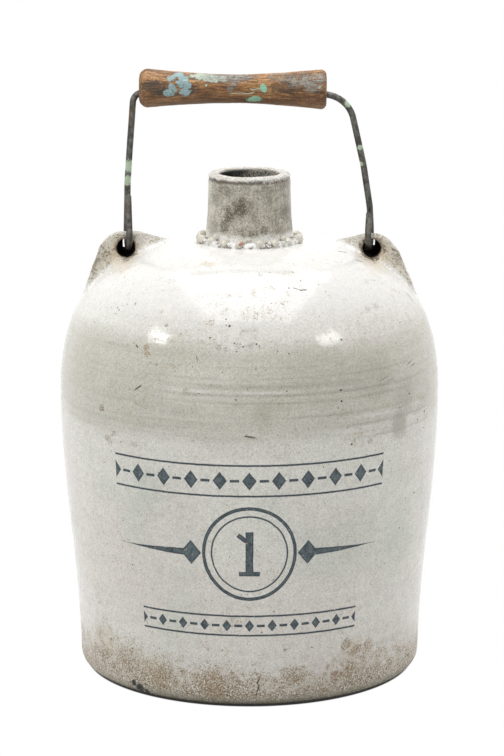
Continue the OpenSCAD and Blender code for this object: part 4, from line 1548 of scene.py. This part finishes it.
wood = {
    "light": srgb(196, 150, 98),
    "mid": srgb(150, 106, 62),
    "dark": srgb(86, 58, 34),
    "soot": srgb(60, 52, 44),
    "paintBlue": srgb(166, 196, 198),
    "paintMint": srgb(160, 214, 182),
    "paintPale": srgb(196, 212, 196),
    "paintGrey": srgb(164, 161, 152),
    "narrow": 1.15,  # how much a mark is squeezed across the grain
    "scratchWidth": 0.3 * mm,
    "marks": [  # mm along, degrees up from the front, reach in mm, stretch along, colour, strength
        (-20.6, 2, 3.4, 1.4, "soot", 0.8),
        (-32.0, -2, 3.4, 1.2, "soot", 0.7),
        (-37.5, 12, 4.4, 1.8, "soot", 0.8),
        (-25.9, 60, 3.4, 1.0, "paintBlue", 1.0),
        (-29.4, 42, 2.4, 1.0, "paintBlue", 0.9),
        (-24.0, 40, 3.2, 1.0, "paintBlue", 1.0),
        (-24.3, 24, 3.4, 1.2, "paintBlue", 1.0),
        (-21.8, 17, 2.6, 1.0, "paintBlue", 1.0),
        (-28.8, 9, 3.0, 0.9, "paintBlue", 1.0),
        (-23.0, -2, 3.2, 1.0, "paintBlue", 1.0),
        (-30.7, -8, 3.0, 1.0, "paintBlue", 1.0),
        (-14.5, 62, 4.2, 2.0, "paintPale", 0.9),
        (-9.0, 50, 3.4, 2.2, "paintPale", 0.8),
        (-3.0, 58, 5.0, 2.6, "paintGrey", 0.9),
        (3.0, 62, 4.2, 2.2, "paintGrey", 0.9),
        (0.8, 28, 2.6, 0.9, "paintGrey", 0.8),
        (-1.2, 8, 2.6, 0.9, "paintGrey", 0.7),
        (-12.6, 20, 1.2, 0.7, "paintPale", 1.0),
        (14.7, 12, 2.5, 0.8, "paintMint", 1.0),
        (15.2, 5, 1.9, 0.8, "paintMint", 1.0),
        (11.2, -38, 2.6, 1.8, "paintMint", 0.9),
        (22.9, 56, 4.6, 1.6, "paintGrey", 0.9),
        (26.0, 10, 4.0, 2.2, "soot", 0.6),
        (34.0, 34, 6.0, 1.9, "paintGrey", 0.85),
        (40.0, 38, 5.2, 1.4, "paintGrey", 0.9),
        (38.5, 10, 4.2, 1.4, "paintGrey", 0.8),
        (41.5, 12, 1.3, 1.0, "paintPale", 1.0),
        (31.0, 58, 4.4, 1.5, "soot", 0.4),
        (-5.0, 170, 7.0, 2.0, "paintGrey", 0.7),
        (24.0, 200, 6.0, 1.8, "soot", 0.7),
        (-27.0, 150, 5.0, 1.4, "paintBlue", 0.8),
    ],
    "scratches": [  # mm along and degrees up from the front, of both ends
        ((7, -14), (4, -10)), ((7, -14), (10, -8)), ((4, -10), (-1, -14)), ((13, 9), (9.5, 2)),
        ((9.5, 2), (8.6, 6)),
    ],
}


def woodMaterial():
    material, tree, place = newMaterial("gripWood")
    at = vectorMath("SUBTRACT", place, tuple(gripMiddle))
    x, _, z = split(at)
    fibre = cloud(at, 1.0, 3.0, 0.75, 1.0, (110, 1500, 1500))
    board = cloud(at, 1.0, 3.0, 0.6, 2.0, (16, 260, 260))
    pores = ramp(cloud(at, 1.0, 2.0, 0.6, 3.0, (260, 2600, 2600)), 0.56, 0.66)
    fine = cloud(at, 1500, 2.0, 0.75, 4.0)
    mottle = cloud(at, 230, 3.0, 0.7, 5.0)
    tone = board * 0.6 + fibre * 0.7
    colour = mixColour(ramp(tone, 0.52, 0.66), wood["dark"], wood["mid"])
    colour = mixColour(ramp(tone, 0.62, 0.80), colour, wood["light"])
    colour = mixColour(pores * 0.7, colour, wood["dark"])
    under = ramp(z + board.sway(9 * mm), 1.5 * mm, -5.5 * mm)
    colour = mixColour(under * 0.62, colour, wood["dark"])
    dirt = ramp(mottle + fine.sway(0.6), 0.5, 0.78)
    colour = mixColour(dirt * 0.55, colour, wood["soot"])
    ends = ramp(abs(x) + mottle.sway(3 * mm), gripHalf - 2.0 * mm, gripHalf - 0.2 * mm)
    colour = mixColour(ends * 0.55, colour, wood["dark"])
    rubbed = ramp(fine * 0.5 + fibre * 0.5 + mottle.sway(0.8), 0.40, 0.52)
    paint = []
    for along, degrees, reach, stretch, tint, strength in wood["marks"]:
        centre = gripPlace(along * mm, degrees)
        away = vectorMath("SUBTRACT", place, tuple(centre))
        squeeze = (1 / stretch, wood["narrow"], wood["narrow"])
        away = vectorMath("LENGTH", vectorMath("MULTIPLY", away, squeeze))
        away = away / (reach * mm) + mottle.sway(2.0) + fine.sway(0.9)
        found = ramp(away, 0.92, 0.74) * strength
        if tint == "paintGrey":
            found = found * rubbed
        rim = ramp(away, 0.60, 0.86)
        worn = ramp(fine + mottle * 0.5, 0.70, 0.88)
        shade = mixColour((worn * 0.6).above(rim * 0.5), wood[tint], wood["soot"])
        colour = mixColour(found, colour, shade)
        if tint != "soot":
            paint.append(found)
    for scratch in wood["scratches"]:
        ends = [gripPlace(along * mm, up) for along, up in scratch]
        found = lineMark(place, *ends, wood["scratchWidth"])
        colour = mixColour(found * 0.85, colour, wood["paintPale"])
    colour = washed(tree, colour, fine.sway(1.7) + fibre.sway(0.9) + mottle.sway(0.5) + 1)
    height = fibre * 0.5 + pores * -0.5 + most(paint) * 0.8 + fine * 0.3
    closeMaterial(tree, height, 0.3 * mm, {"Base Color": colour, "IOR": 1.45,
                                           "Roughness": fibre * 0.25 + 0.42})
    return material


gripWood = woodMaterial()
gripPiece = spinPiece("turnedGrip", gripProfile(), gripWood, grip["spin"])
turnDown = Vector(gripJoint["axis"]).to_track_quat("Z", "Y").to_matrix().to_4x4()
turnDown.translation = gripMiddle
gripPiece.data.transform(turnDown)
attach(gripPiece, "grip")
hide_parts("grip")
print("grip ready")
